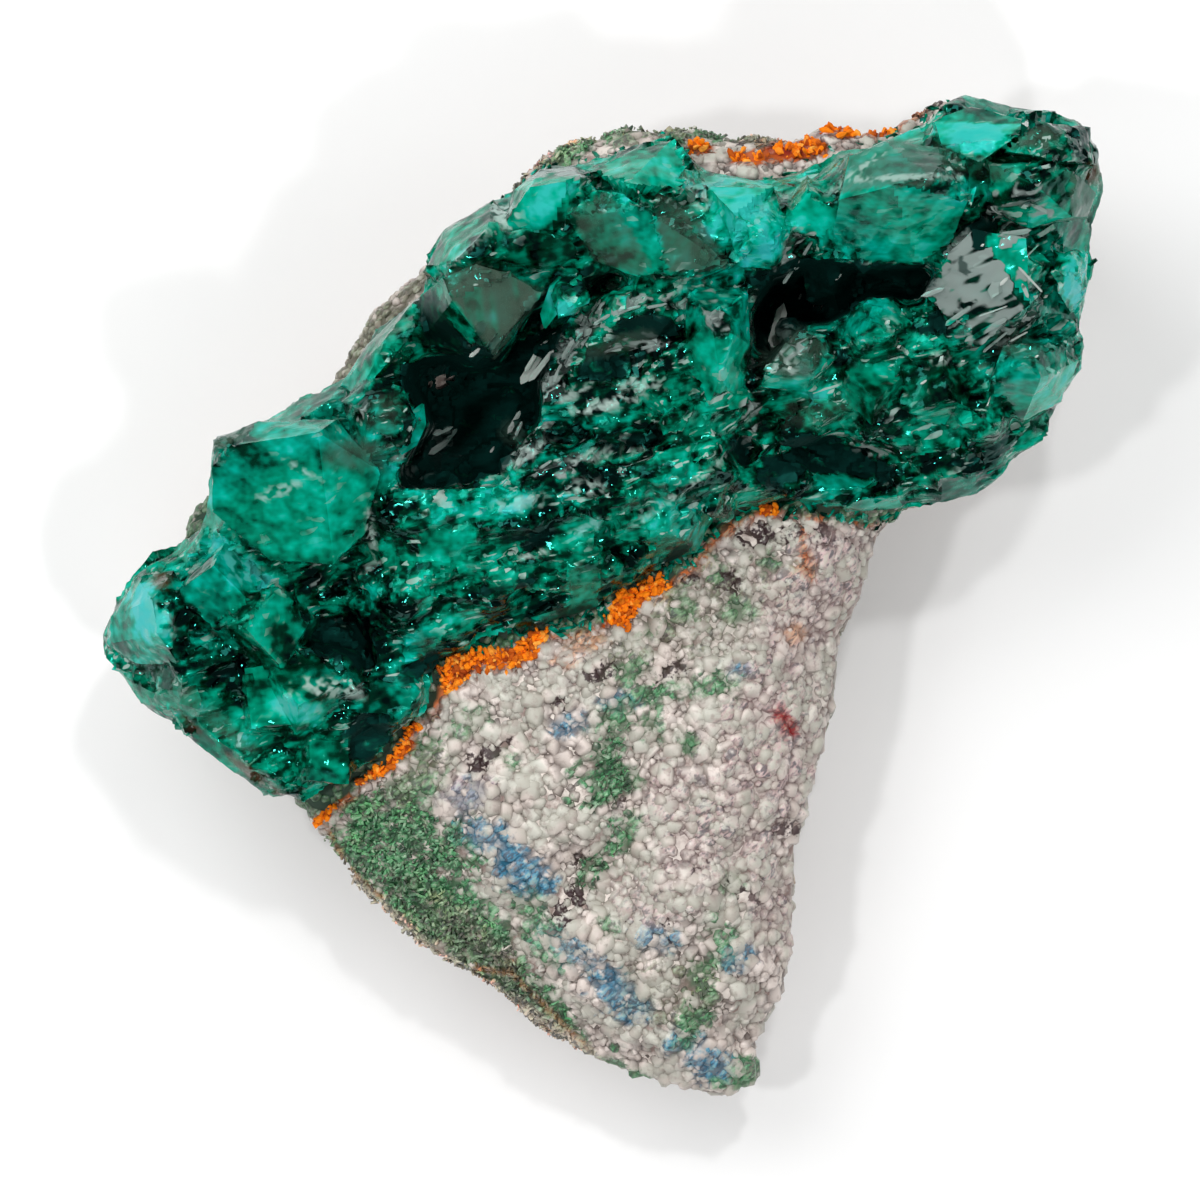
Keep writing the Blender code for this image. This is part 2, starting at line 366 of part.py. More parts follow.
def prism_from_outline(name, outline, low, high, voxel, collection):
    """A filled outline raised to a prism and remeshed evenly, so that its surface can be shaped."""
    curve = bpy.data.curves.new(name, "CURVE")
    curve.dimensions = "2D"
    curve.fill_mode = "BOTH"
    curve.extrude = (high - low) / 2
    spline = curve.splines.new("POLY")
    spline.points.add(len(outline) - 1)
    for point, (x, y) in zip(spline.points, outline):
        point.co = (x, y, 0.0, 1.0)
    spline.use_cyclic_u = True
    ob = bpy.data.objects.new(name + "_outline", curve)
    ob.location.z = (high + low) / 2
    collection.objects.link(ob)
    mesh = evaluated_mesh(ob, name)
    mesh.transform(Matrix.Translation((0.0, 0.0, (high + low) / 2)))
    bpy.data.objects.remove(ob, do_unlink=True)
    solid = bpy.data.objects.new(name, mesh)
    solid.data.name = name
    collection.objects.link(solid)
    even_out(solid, voxel)
    return solid


def even_out(ob, voxel):
    remesh = ob.modifiers.new("Even", "REMESH")
    remesh.mode = "VOXEL"
    remesh.voxel_size = voxel
    remesh.adaptivity = 0.0
    bake(ob)


def reduce_to(ob, triangles):
    """Collapse edges until about this many triangles are left, which also gives the surface its flat facets."""
    mesh = ob.data
    mesh.calc_loop_triangles()
    decimate = ob.modifiers.new("Reduce", "DECIMATE")
    decimate.decimate_type = "COLLAPSE"
    decimate.ratio = triangles / len(mesh.loop_triangles)
    decimate.use_collapse_triangulate = True
    bake(ob)


def tidy_mesh(ob, merge):
    bm = bmesh.new()
    bm.from_mesh(ob.data)
    bmesh.ops.remove_doubles(bm, verts=bm.verts, dist=merge)
    bmesh.ops.dissolve_degenerate(bm, dist=merge, edges=bm.edges)
    bmesh.ops.triangulate(bm, faces=bm.faces)
    bmesh.ops.recalc_face_normals(bm, faces=bm.faces)
    bm.to_mesh(ob.data)
    bm.free()


def keep_largest(ob):
    """Drop loose crumbs that a cut leaves, so that the node stays one body."""
    bm = bmesh.new()
    bm.from_mesh(ob.data)
    bm.verts.ensure_lookup_table()
    seen, groups = set(), []
    for start in bm.verts:
        if start.index in seen:
            continue
        group, edge = [], [start]
        seen.add(start.index)
        while edge:
            vert = edge.pop()
            group.append(vert)
            for link in vert.link_edges:
                other = link.other_vert(vert)
                if other.index not in seen:
                    seen.add(other.index)
                    edge.append(other)
        groups.append(group)
    groups.sort(key=len)
    for group in groups[:-1]:
        bmesh.ops.delete(bm, geom=group, context="VERTS")
    bm.to_mesh(ob.data)
    bm.free()


def flat_base(ob, level):
    """Cut the solid flat at a height and close it there."""
    bm = bmesh.new()
    bm.from_mesh(ob.data)
    geom = bm.verts[:] + bm.edges[:] + bm.faces[:]
    cut = bmesh.ops.bisect_plane(
        bm, geom=geom, dist=1e-5, plane_co=(0, 0, level), plane_no=(0, 0, -1), clear_outer=True
    )
    rim = [e for e in cut["geom_cut"] if isinstance(e, bmesh.types.BMEdge)]
    bmesh.ops.holes_fill(bm, edges=rim, sides=0)
    bmesh.ops.triangulate(bm, faces=bm.faces)
    bmesh.ops.recalc_face_normals(bm, faces=bm.faces)
    bm.to_mesh(ob.data)
    bm.free()


def principled(name, colour, roughness):
    mat = bpy.data.materials.new(name)
    mat.use_nodes = True
    shader = mat.node_tree.nodes["Principled BSDF"]
    shader.inputs["Base Color"].default_value = (*colour, 1.0)
    shader.inputs["Roughness"].default_value = roughness
    mat.diffuse_color = (*colour, 1.0)
    return mat


# The rock


def rock_top(x, y):
    """Height of the rock's upper surface: the open face with its crease, pits and lumps, and the covered part."""
    z = seat_height(x, y)
    to_crust, _ = nearest_on_line(x, y, CRUST_OUTLINE, True)
    covered = inside(x, y, CRUST_OUTLINE)
    if covered:
        return lowest_seat(x, y) - GAP / 2 - COVERED_DROP
    open_share = smooth(to_crust / 1.2)
    rough = 0.45 * noise_at(x, y, 0, 2.6, 1) + 0.35 * noise_at(x, y, 0, 1.2, 2)
    for px, py, radius, depth in ROCK_MARKS:
        away = math.hypot(x - px, y - py) / radius
        rough -= depth * math.exp(-away * away)
    away, _ = nearest_on_line(x, y, CREASE, False)
    rough -= CREASE_DEPTH * math.exp(-((away / CREASE_WIDTH) ** 2))
    return z - GAP / 2 - COVERED_DROP * (1.0 - open_share) + rough * open_share


def inside(x, y, outline):
    odd = False
    for i in range(len(outline)):
        ax, ay = outline[i]
        bx, by = outline[i - 1]
        if (ay > y) != (by > y) and x < (bx - ax) * (y - ay) / (by - ay) + ax:
            odd = not odd
    return odd


def side_inset(share, edge, base):
    """How far the side stands in from the outline at this share of the height."""
    low = base * (1.0 - smooth(share / 0.62))
    high = edge * max(0.0, (share - 0.74) / 0.26) ** 2.2
    return low + high


def build_rock(collection):
    top = 10.0
    rock = prism_from_outline("matrix", ROCK_OUTLINE, 0.0, top, ROCK_VOXEL, collection)
    for vert in rock.data.vertices:
        x, y, z = vert.co
        share = min(1.0, max(0.0, z / top))
        away, _ = nearest_on_line(x, y, ROCK_OUTLINE, True)
        lumps = 0.9 * noise_at(x, y, z, 4.2, 7) + 0.6 * noise_at(x, y, z, 1.9, 8)
        lumps = max(0.0, 0.35 + lumps) * smooth(share / 0.1) * (1.0 - smooth((share - 0.6) / 0.35))
        inset = side_inset(share, EDGE_ROUND * 0.55, BASE_INSET) + lumps
        fade = (1.0 - smooth(away / 8.0)) ** 1.4
        inward = inward_at(x, y, ROCK_OUTLINE)
        drop = EDGE_ROUND * math.exp(-((away / 1.1) ** 2)) * smooth((share - 0.7) / 0.3)
        if inside(x, y, CRUST_OUTLINE):
            drop *= 0.3
        high = rock_top(x, y) - drop
        vert.co = (x + inward.x * inset * fade, y + inward.y * inset * fade, -0.6 + share * (high + 0.6))
    even_out(rock, ROCK_VOXEL * 0.9)
    reduce_to(rock, ROCK_TRIANGLES)
    flat_base(rock, 0.0)
    tidy_mesh(rock, 0.001)
    return rock


# The crust


def hollow_depth(x, y):
    depth = 0.0
    for outline, deep in DEEP_HOLLOWS:
        if inside(x, y, outline):
            away, _ = nearest_on_line(x, y, outline, True)
            depth = max(depth, deep * (0.5 + 0.5 * smooth(away / 0.5)))
    for px, py, length, width, turn, deep in HOLLOWS:
        angle = math.radians(turn)
        dx, dy = x - px, y - py
        u = (dx * math.cos(angle) + dy * math.sin(angle)) / length
        v = (-dx * math.sin(angle) + dy * math.cos(angle)) / width
        away = math.hypot(u, v)
        depth = max(depth, deep * (1.0 - smooth((away - 0.55) / 0.75)))
    return depth


def build_crust_body(collection):
    """The grown-together mass under the crystals, with its slopes, ledge and deep hollows."""
    low, high = 4.0, 16.0
    body = prism_from_outline("crust_body", CRUST_OUTLINE, low, high, CRUST_VOXEL, collection)
    for vert in body.data.vertices:
        x, y, z = vert.co
        share = min(1.0, max(0.0, (z - low) / (high - low)))
        away, _ = nearest_on_line(x, y, CRUST_OUTLINE, True)
        top = height_at(x, y, CRUST_HEIGHTS)
        top += facet_height(x, y, 2.1, 0.9) + 0.35 * noise_at(x, y, 0, 1.3, 4)
        top -= hollow_depth(x, y)
        top = max(top, seat_height(x, y) + GAP / 2 + 0.5)
        edge = 1.0 - smooth(away / 1.6)
        top -= 1.5 * edge * edge
        inset = (1.6 * (1.0 - share) ** 1.5 + 0.3 * max(0.0, noise_at(x, y, z, 2.0, 5))) * (1.0 - smooth(away / 4.0))
        inward = inward_at(x, y, CRUST_OUTLINE)
        vert.co = (x + inward.x * inset, y + inward.y * inset, low + share * (top - low))
    even_out(body, CRUST_VOXEL * 0.8)
    reduce_to(body, CRUST_TRIANGLES)
    tidy_mesh(body, 0.001)
    return body


def crystal(name, point, radius, length, lean, towards, spin, squash, collection):
    """A six-sided dioptase prism whose upper end is cut by three slanting faces that meet at the point.

    Each end face stands above an edge of the prism, as on the real mineral.
    """
    bm = bmesh.new()
    bmesh.ops.create_cone(
        bm, cap_ends=True, cap_tris=False, segments=6, radius1=radius, radius2=radius, depth=length + radius
    )
    bmesh.ops.translate(bm, verts=bm.verts, vec=(0, 0, -(length + radius) / 2))
    first = max(bm.verts, key=lambda v: (round(v.co.x, 4), v.co.z)).co
    start = math.atan2(first.y, first.x)
    angle = math.radians(RHOMB_ANGLE)
    for i in range(3):
        around = start + math.radians(120 * i)
        normal = Vector((math.sin(angle) * math.cos(around), math.sin(angle) * math.sin(around), math.cos(angle)))
        geom = bm.verts[:] + bm.edges[:] + bm.faces[:]
        cut = bmesh.ops.bisect_plane(
            bm, geom=geom, dist=1e-5, plane_co=(0, 0, 0), plane_no=normal, clear_outer=True
        )
        rim = [e for e in cut["geom_cut"] if isinstance(e, bmesh.types.BMEdge)]
        bmesh.ops.holes_fill(bm, edges=rim, sides=0)
    bmesh.ops.recalc_face_normals(bm, faces=bm.faces)
    shape = Matrix.Diagonal((1.0, squash, 1.0, 1.0))
    turn = Matrix.Rotation(math.radians(spin), 4, "Z")
    tip_over = Matrix.Rotation(math.radians(lean), 4, "Y")
    aim = Matrix.Rotation(math.radians(towards), 4, "Z")
    place = Matrix.Translation(point)
    bm.transform(place @ aim @ tip_over @ turn @ shape)
    mesh = bpy.data.meshes.new(name)
    bm.to_mesh(mesh)
    bm.free()
    ob = bpy.data.objects.new(name, mesh)
    collection.objects.link(ob)
    return ob


def block(name, depth, corners, collection):
    """A crystal block as the hull of its visible corners and of the same corners carried down into the crust."""
    bm = bmesh.new()
    middle = Vector((0.0, 0.0, 0.0))
    for corner in corners:
        middle += Vector(corner) / len(corners)
    lowest = min(z for _, _, z in corners)
    for x, y, z in corners:
        bm.verts.new((x, y, z))
        spread = Vector((x - middle.x, y - middle.y, 0.0)) * 0.04
        bm.verts.new((x + spread.x, y + spread.y, lowest - depth))
    made = bmesh.ops.convex_hull(bm, input=bm.verts)
    loose = [v for v in bm.verts if not v.link_faces]
    bmesh.ops.delete(bm, geom=loose, context="VERTS")
    bmesh.ops.recalc_face_normals(bm, faces=bm.faces)
    mesh = bpy.data.meshes.new(name)
    bm.to_mesh(mesh)
    bm.free()
    ob = bpy.data.objects.new(name, mesh)
    collection.objects.link(ob)
    return ob


def build_crystals(collection):
    rng = random.Random(SEED)
    for name, depth, corners in BLOCKS:
        block(name, depth, corners, collection)
    for name, x, y, z, radius, length, lean, towards, spin in CRYSTALS:
        squash = 0.86 + 0.2 * rng.random()
        crystal(name, (x, y, z), radius, length, lean, towards, spin, squash, collection)
    made = 0
    while made < SMALL_CRYSTALS:
        x, y = rng.uniform(-25, 25), rng.uniform(-11, 25)
        if not inside(x, y, CRUST_OUTLINE) or hollow_depth(x, y) > 1.0:
            continue
        if nearest_on_line(x, y, CRUST_OUTLINE, True)[0] < 1.3:
            continue
        if min(nearest_on_line(x, y, outline, True)[0] for outline, _ in DEEP_HOLLOWS) < 1.2:
            continue
        radius = rng.uniform(*SMALL_RADIUS)
        z = height_at(x, y, CRUST_HEIGHTS) + radius * rng.uniform(0.5, 1.1)
        crystal(
            "small_%02d" % made, (x, y, z), radius, 3.5 * radius,
            rng.uniform(5, 45), rng.uniform(0, 360), rng.uniform(0, 120), rng.uniform(0.8, 1.1), collection,
        )
        made += 1


def build_bed(collection):
    """The rock's covered surface raised by half the gap, as a block that is cut away from the crust."""
    bm = bmesh.new()
    columns, rows = 28, 22
    bmesh.ops.create_grid(bm, x_segments=columns, y_segments=rows, size=1.0)
    for vert in bm.verts:
        x = round(vert.co.x * columns / 2) * BED_STEP
        y = round(vert.co.y * rows / 2) * BED_STEP + 6.0
        vert.co = (x, y, seat_height(x, y) + GAP / 2)
    made = bmesh.ops.extrude_face_region(bm, geom=bm.faces[:])
    lowered = [v for v in made["geom"] if isinstance(v, bmesh.types.BMVert)]
    for vert in lowered:
        vert.co.z = -4.0
    bmesh.ops.recalc_face_normals(bm, faces=bm.faces)
    mesh = bpy.data.meshes.new("crust_bed")
    bm.to_mesh(mesh)
    bm.free()
    ob = bpy.data.objects.new("crust_bed", mesh)
    collection.objects.link(ob)
    return ob


def build_crust(collection, cutters, rock):
    body = build_crust_body(cutters)
    grown = bpy.data.collections.new("grown_crystals")
    cutters.children.link(grown)
    build_crystals(grown)
    bed = build_bed(cutters)
    crust = bpy.data.objects.new("dioptase_crystals", body.data.copy())
    collection.objects.link(crust)
    join = crust.modifiers.new("Grow together", "BOOLEAN")
    join.operation = "UNION"
    join.operand_type = "COLLECTION"
    join.collection = grown
    join.solver = "EXACT"
    bake(crust)
    seat = crust.modifiers.new("Seat on the rock", "BOOLEAN")
    seat.operation = "DIFFERENCE"
    seat.object = bed
    seat.solver = "EXACT"
    bake(crust)
    lifted = bpy.data.objects.new("lifted_rock", rock.data.copy())
    lifted.data.transform(Matrix.Translation((0.0, 0.0, GAP)))
    cutters.objects.link(lifted)
    clear = crust.modifiers.new("Clear of the rock", "BOOLEAN")
    clear.operation = "DIFFERENCE"
    clear.object = lifted
    clear.solver = "EXACT"
    bake(crust)
    tidy_mesh(crust, 0.001)
    keep_largest(crust)
    return crust


def hide(collection):
    for ob in collection.all_objects:
        ob.hide_render = True
        ob.display_type = "WIRE"


def main():
    clear_scene()
    part = make_collection("dioptase")
    cutters = make_collection("cutters")
    rock = build_rock(part)
    crust = build_crust(part, cutters, rock)
    rock.data.materials.clear()
    rock.data.materials.append(principled("matrix", (0.72, 0.68, 0.64), 0.8))
    crust.data.materials.clear()
    crust.data.materials.append(principled("dioptase", (0.01, 0.30, 0.22), 0.15))
    corners = [v.co for ob in (rock, crust) for v in ob.data.vertices]
    middle_x = (min(c.x for c in corners) + max(c.x for c in corners)) / 2
    middle_y = (min(c.y for c in corners) + max(c.y for c in corners)) / 2
    for ob in (rock, crust):
        ob.data.transform(Matrix.Scale(MM, 4) @ Matrix.Translation((-middle_x, -middle_y, 0.0)))
    for ob in cutters.all_objects:
        ob.data.transform(Matrix.Scale(MM, 4))
    hide(cutters)


main()
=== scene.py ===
"""Looks of a dioptase specimen: green crystals grown together on a wedge of sugary rock, with an iron-oxide seam.

The places below are in millimetres on the specimen seen from above, X to the right and Y away from the wedge's tip.
"""

import json
import math
import random

import bmesh
import bpy
import numpy as np
from mathutils import Matrix, Vector, noise
from mathutils.bvhtree import BVHTree
from mathutils.kdtree import KDTree

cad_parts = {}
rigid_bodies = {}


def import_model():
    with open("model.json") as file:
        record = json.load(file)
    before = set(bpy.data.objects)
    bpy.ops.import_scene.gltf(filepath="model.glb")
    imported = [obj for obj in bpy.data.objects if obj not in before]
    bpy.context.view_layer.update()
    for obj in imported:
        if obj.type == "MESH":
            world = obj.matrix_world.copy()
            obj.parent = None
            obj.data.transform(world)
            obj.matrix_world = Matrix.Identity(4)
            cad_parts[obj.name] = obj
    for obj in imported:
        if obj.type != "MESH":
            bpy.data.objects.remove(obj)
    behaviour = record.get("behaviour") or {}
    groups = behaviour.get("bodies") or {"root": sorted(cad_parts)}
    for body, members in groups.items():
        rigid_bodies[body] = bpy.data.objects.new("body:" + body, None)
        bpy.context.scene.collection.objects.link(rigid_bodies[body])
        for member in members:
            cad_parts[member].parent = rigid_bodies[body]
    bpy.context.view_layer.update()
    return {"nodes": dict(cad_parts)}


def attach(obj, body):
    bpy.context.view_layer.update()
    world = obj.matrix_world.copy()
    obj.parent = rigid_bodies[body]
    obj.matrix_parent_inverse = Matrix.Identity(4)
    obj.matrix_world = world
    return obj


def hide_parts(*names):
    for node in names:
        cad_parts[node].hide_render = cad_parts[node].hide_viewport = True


bl_info = {
    "name": "Dioptase Specimen",
    "version": (1, 0, 0),
    "blender": (4, 5, 0),
    "location": "3D View > Sidebar > Dioptase",
    "description": "Builds the crystals, the sugary rock and the iron seam of a dioptase specimen",
    "category": "Add Mesh",
}

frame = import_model()
MM = 0.001

# Outline of the crust of crystals, seen from above

CRUST_OUTLINE = [
    (-19.4, 8.2), (-16.8, 9.0), (-15.5, 10.0), (-13.0, 11.6), (-12.2, 12.4), (-11.2, 13.7), (-9.4, 15.2),
    (-8.9, 16.8), (-7.8, 18.7), (-6.5, 19.4), (-5.0, 20.3), (-4.2, 20.6), (-3.0, 21.6), (-1.2, 21.8),
    (-0.4, 22.0), (1.5, 22.7), (3.5, 23.4), (4.3, 22.6), (5.0, 21.6), (6.8, 21.1), (8.0, 21.0), (10.0, 21.5),
    (11.5, 22.4), (13.5, 22.7), (15.4, 23.5), (16.8, 24.6), (25.0, 24.8), (25.2, 6.0), (16.4, 4.7), (14.8, 3.8),
    (12.2, 3.8), (11.5, 4.0), (9.5, 4.3), (8.3, 4.6), (6.5, 3.8), (5.2, 2.8), (4.8, 1.9), (3.5, 1.0),
    (2.5, 0.9), (0.5, -0.9), (-1.5, -1.7), (-3.0, -1.8), (-5.0, -2.5), (-6.0, -2.8), (-7.7, -3.6),
    (-8.3, -5.3), (-9.6, -6.7), (-10.2, -8.3), (-11.9, -9.2), (-14.2, -10.9), (-25.2, -11.0), (-25.2, 8.0),
]

# Iron-oxide seam: outlines of its thick patches, and thin lines with their half width

SEAM_PATCHES = [
    [(-7.9, -3.3), (-7.0, -2.6), (-5.7, -2.6), (-4.4, -2.4), (-3.6, -1.6), (-2.4, -1.6), (-2.9, -2.3), (-3.7, -3.1),
     (-4.7, -3.7), (-5.9, -3.5), (-7.0, -4.1), (-7.7, -4.9), (-7.9, -4.1)],
    [(-9.5, -6.1), (-9.1, -6.6), (-9.3, -7.3), (-9.9, -8.2), (-10.9, -8.6), (-11.8, -9.3), (-12.2, -9.2),
     (-10.9, -8.2), (-10.1, -7.4), (-9.9, -6.6)],
    [(-14.4, -10.9), (-13.2, -10.2), (-13.4, -10.7), (-14.2, -11.2)],
    [(0.2, -0.9), (1.0, 0.3), (2.1, 1.0), (3.0, 1.2), (3.8, 0.8), (2.4, 0.3), (1.9, -0.3), (1.4, -1.5), (0.7, -1.3)],
    [(7.9, 4.3), (8.5, 4.9), (9.3, 4.5), (8.8, 4.1)],
    [(4.5, 22.9), (5.7, 22.7), (5.5, 22.2), (4.6, 22.3)],
    [(6.5, 22.2), (8.4, 22.6), (9.9, 23.1), (11.3, 23.0), (11.4, 22.2), (9.6, 21.9), (7.6, 21.6), (6.6, 21.8)],
    [(11.2, 23.8), (13.3, 23.8), (13.4, 23.2), (11.4, 23.1)],
    [(13.4, 23.4), (14.6, 24.1), (15.9, 24.9), (16.6, 25.2), (16.4, 24.5), (15.0, 23.5), (13.6, 22.9)],
]
SEAM_LINES = [
    ([(-13.2, -10.4), (-12.2, -9.4)], 0.14), ([(-9.4, -6.1), (-8.7, -5.7), (-8.3, -5.1), (-7.8, -4.5)], 0.22),
    ([(-2.4, -1.8), (-1.0, -1.7), (0.3, -1.1)], 0.12), ([(3.6, 0.9), (4.6, 1.6), (5.1, 2.3), (6.1, 3.4)], 0.16),
    ([(6.1, 3.4), (7.2, 4.1), (8.4, 4.7), (9.7, 4.4), (11.9, 4.0), (13.6, 3.9)], 0.18),
    ([(10.3, 3.6), (10.1, 2.6), (10.5, 1.1)], 0.14),
]

# Marks on the open face of the rock: x, y, half length, half width, turn in degrees, strength

GREEN_STAINS = [
    (-9.6, -12.6, 2.8, 2.0, -20, 0.75), (-8.3, -16.2, 1.5, 1.1, -30, 1.0), (-10.2, -13.6, 1.3, 0.9, 0, 0.9),
    (-7.0, -14.8, 1.8, 1.0, -40, 0.9), (-11.8, -11.4, 1.6, 0.9, -30, 1.0), (0.9, -6.2, 1.3, 0.8, 60, 0.7),
    (0.2, -8.9, 1.5, 1.2, 80, 0.8), (1.2, -11.9, 1.6, 0.6, 70, 0.7), (-0.4, -13.4, 0.9, 0.6, 60, 0.6),
    (3.0, -4.6, 1.1, 0.6, 30, 0.6), (5.6, -4.2, 1.4, 0.6, 10, 0.7), (6.8, -0.6, 0.9, 0.6, 0, 0.7),
    (-8.8, -14.4, 2.4, 1.5, -38, 1.0), (-6.8, -17.2, 1.8, 0.9, -40, 0.9), (-12.6, -12.2, 1.2, 0.8, -50, 0.9),
    (-8.6, -7.4, 0.9, 0.5, 45, 0.7), (-10.8, -11.6, 2.2, 1.4, -20, 0.9),
    (4.6, -7.3, 0.7, 0.5, 0, 0.8), (5.2, -19.2, 1.0, 0.7, 70, 0.8), (4.6, -21.4, 1.2, 0.7, 60, 0.7),
    (7.4, -24.0, 1.3, 0.8, 30, 0.9), (-3.0, -17.2, 1.6, 0.7, -40, 0.6), (1.4, -3.4, 0.9, 0.6, 30, 0.7),
    (-9.0, -9.4, 1.4, 0.7, 40, 0.7), (1.0, -24.0, 2.2, 0.6, -25, 0.8), (-2.4, -21.0, 1.6, 0.5, -40, 0.7),
    (6.0, -17.0, 0.8, 1.2, 0, 0.4), (-5.6, -16.6, 1.4, 0.8, -40, 0.8), (-10.6, -9.9, 1.2, 0.7, 30, 0.7),
    (-1.4, 22.6, 1.6, 0.5, 35, 0.8), (1.2, 23.4, 0.9, 0.5, 20, 0.8), (3.6, 23.2, 0.7, 0.5, 0, 0.7),
    (5.6, 23.4, 0.9, 0.4, 0, 0.7), (2.4, -1.6, 0.9, 0.4, 30, 0.6), (4.2, -0.2, 0.6, 0.9, 0, 0.6),
    (5.6, 1.6, 0.5, 0.8, 20, 0.6), (8.4, 1.8, 0.5, 0.4, 0, 0.5), (2.6, -6.2, 0.5, 1.0, 30, 0.6),
    (-6.6, -6.2, 1.2, 0.6, 40, 0.5), (-4.4, -8.0, 0.5, 0.5, 0, 0.4), (6.6, -14.2, 0.5, 0.8, 0, 0.4),
    (-6.4, -18.0, 2.6, 1.0, -42, 0.9), (-4.2, -19.4, 1.8, 0.9, -40, 0.7), (-3.0, -20.6, 1.8, 0.7, -42, 0.8), (-9.8, -16.0, 1.8, 0.8, -40, 0.9),
    (-12.2, -13.4, 1.6, 0.8, -52, 0.8), (-3.4, -16.0, 1.4, 0.8, -50, 0.5), (0.4, -16.4, 0.8, 0.6, 0, 0.4),
]
WARM_STAINS = [
    (9.7, -1.7, 0.6, 0.5, 0, 0.7), (-0.8, -2.2, 1.2, 0.5, 20, 0.6), (-1.8, -3.0, 0.8, 0.4, 0, 0.5),
    (10.4, 1.6, 0.4, 0.8, 0, 0.6), (-4.5, -18.4, 0.5, 0.3, 0, 0.6), (3.2, 0.4, 0.6, 0.4, 30, 0.6),
]
TAN_EDGE = [
    ([(-13.0, -14.0), (-11.4, -15.6), (-8.9, -17.8), (-6.3, -19.6), (-3.7, -21.0), (-1.6, -22.6), (-0.4, -23.4)], 0.6),
]
BROWN_EDGE = [
    ([(-13.9, -11.2), (-12.8, -13.4), (-11.0, -15.0)], 0.12), ([(-6.3, -18.6), (-4.4, -18.9), (-2.7, -20.6), (-0.9, -22.4)], 0.14),
]
MOSS_STAINS = [
    (-11.6, 13.0, 3.4, 0.8, 47, 0.9), (-15.6, 9.8, 2.6, 0.6, 28, 0.9), (-9.4, 15.8, 1.6, 0.7, 52, 0.8),
    (-4.2, 20.9, 1.6, 0.5, 30, 0.5), (2.6, 23.5, 1.8, 0.5, 10, 0.6), (8.3, 23.1, 1.0, 0.5, 0, 0.8),
    (4.4, -1.0, 4.6, 2.0, 25, 0.30), (15.8, 24.7, 1.2, 0.6, 35, 0.8), (-20.2, 5.0, 1.2, 1.6, 0, 0.25),
    (-6.6, -17.4, 3.6, 1.2, -42, 0.5), (-9.0, -8.6, 2.2, 0.8, 42, 0.5), (3.4, -19.6, 2.4, 1.6, 0, 0.35),
]
BLUE_STAINS = [
    (-5.6, -12.0, 1.5, 0.9, -20, 0.7), (-3.9, -13.6, 1.4, 1.0, -30, 1.0), (0.6, -19.4, 1.4, 0.9, -20, 0.8),
    (1.4, -20.6, 1.2, 0.7, 0, 0.8), (5.8, -23.6, 1.4, 0.8, -20, 0.8), (0.8, -5.0, 0.8, 0.5, 0, 0.5),
    (-1.5, -6.3, 0.9, 0.6, 20, 0.5), (7.0, -3.6, 0.6, 0.4, 0, 0.5), (7.0, -18.2, 0.9, 0.6, 30, 0.5),
    (-1.4, -17.6, 1.6, 0.8, -30, 0.5), (3.0, -17.0, 1.2, 0.7, 0, 0.35), (-6.5, -9.8, 1.2, 0.8, 0, 0.35),
    (4.4, -22.4, 1.2, 0.7, 0, 0.5),
]
LILAC_STAINS = [
    (8.6, -7.0, 2.6, 4.2, 0, 0.7), (6.0, -11.6, 2.8, 2.6, 0, 0.6), (9.6, -1.0, 2.2, 2.4, 0, 0.7),
    (3.6, -9.6, 1.8, 1.6, 0, 0.5), (8.6, -15.0, 1.2, 3.0, 0, 0.5), (-6.6, -9.7, 1.4, 0.8, 0, 0.8),
    (2.6, -15.0, 2.2, 1.6, 0, 0.4), (11.4, 2.6, 1.6, 1.0, 0, 1.0), (10.5, 23.3, 0.9, 0.5, 20, 0.7),
    (-2.5, 21.9, 1.6, 0.5, 40, 0.6), (12.4, 1.0, 1.2, 1.6, 0, 0.8), (-1.6, -2.9, 1.6, 0.5, 20, 0.5),
]
DARK_MARKS = [
    (-2.1, -4.8, 0.3, 0.5, 30, 0.9), (0.3, -3.5, 0.9, 0.4, 20, 0.9), (-1.4, -8.6, 0.4, 0.2, 0, 0.7),
    (2.8, -8.0, 0.2, 0.4, 0, 0.6), (3.4, -16.6, 0.3, 0.9, 20, 0.7), (7.6, -14.9, 0.9, 0.25, -30, 0.7),
    (-4.6, -7.0, 0.3, 0.3, 0, 0.7), (6.2, -10.4, 0.15, 0.5, 0, 0.7), (8.6, -4.4, 0.15, 0.5, 20, 0.6),
    (-2.0, -16.0, 0.4, 0.7, 10, 0.8), (5.0, -13.4, 0.5, 0.15, 30, 0.6), (11.2, 3.4, 0.9, 0.4, -8, 0.9),
    (7.8, 3.0, 0.8, 0.5, 10, 1.0), (6.4, 0.9, 0.6, 0.5, 0, 0.9), (3.3, -3.7, 0.8, 0.5, 30, 0.9),
    (-1.2, -13.1, 0.7, 0.5, 0, 0.9), (-1.3, -14.8, 0.6, 0.5, 0, 0.8), (9.5, -11.5, 0.7, 0.5, 0, 0.8),
    (-5.9, -8.0, 0.8, 0.5, 20, 0.9), (1.0, -9.9, 0.6, 1.4, 0, 0.5), (10.6, 3.2, 2.2, 0.5, -5, 0.8),
    (7.8, 22.9, 0.9, 0.5, 0, 0.9), (11.8, 23.8, 0.8, 0.3, 20, 0.7), (16.8, 25.0, 0.8, 0.4, 30, 0.8),
    (4.6, 1.2, 0.6, 0.3, 20, 0.8), (3.4, -1.6, 0.5, 0.3, 40, 0.7), (9.8, -0.4, 0.3, 0.5, 0, 0.6),
]
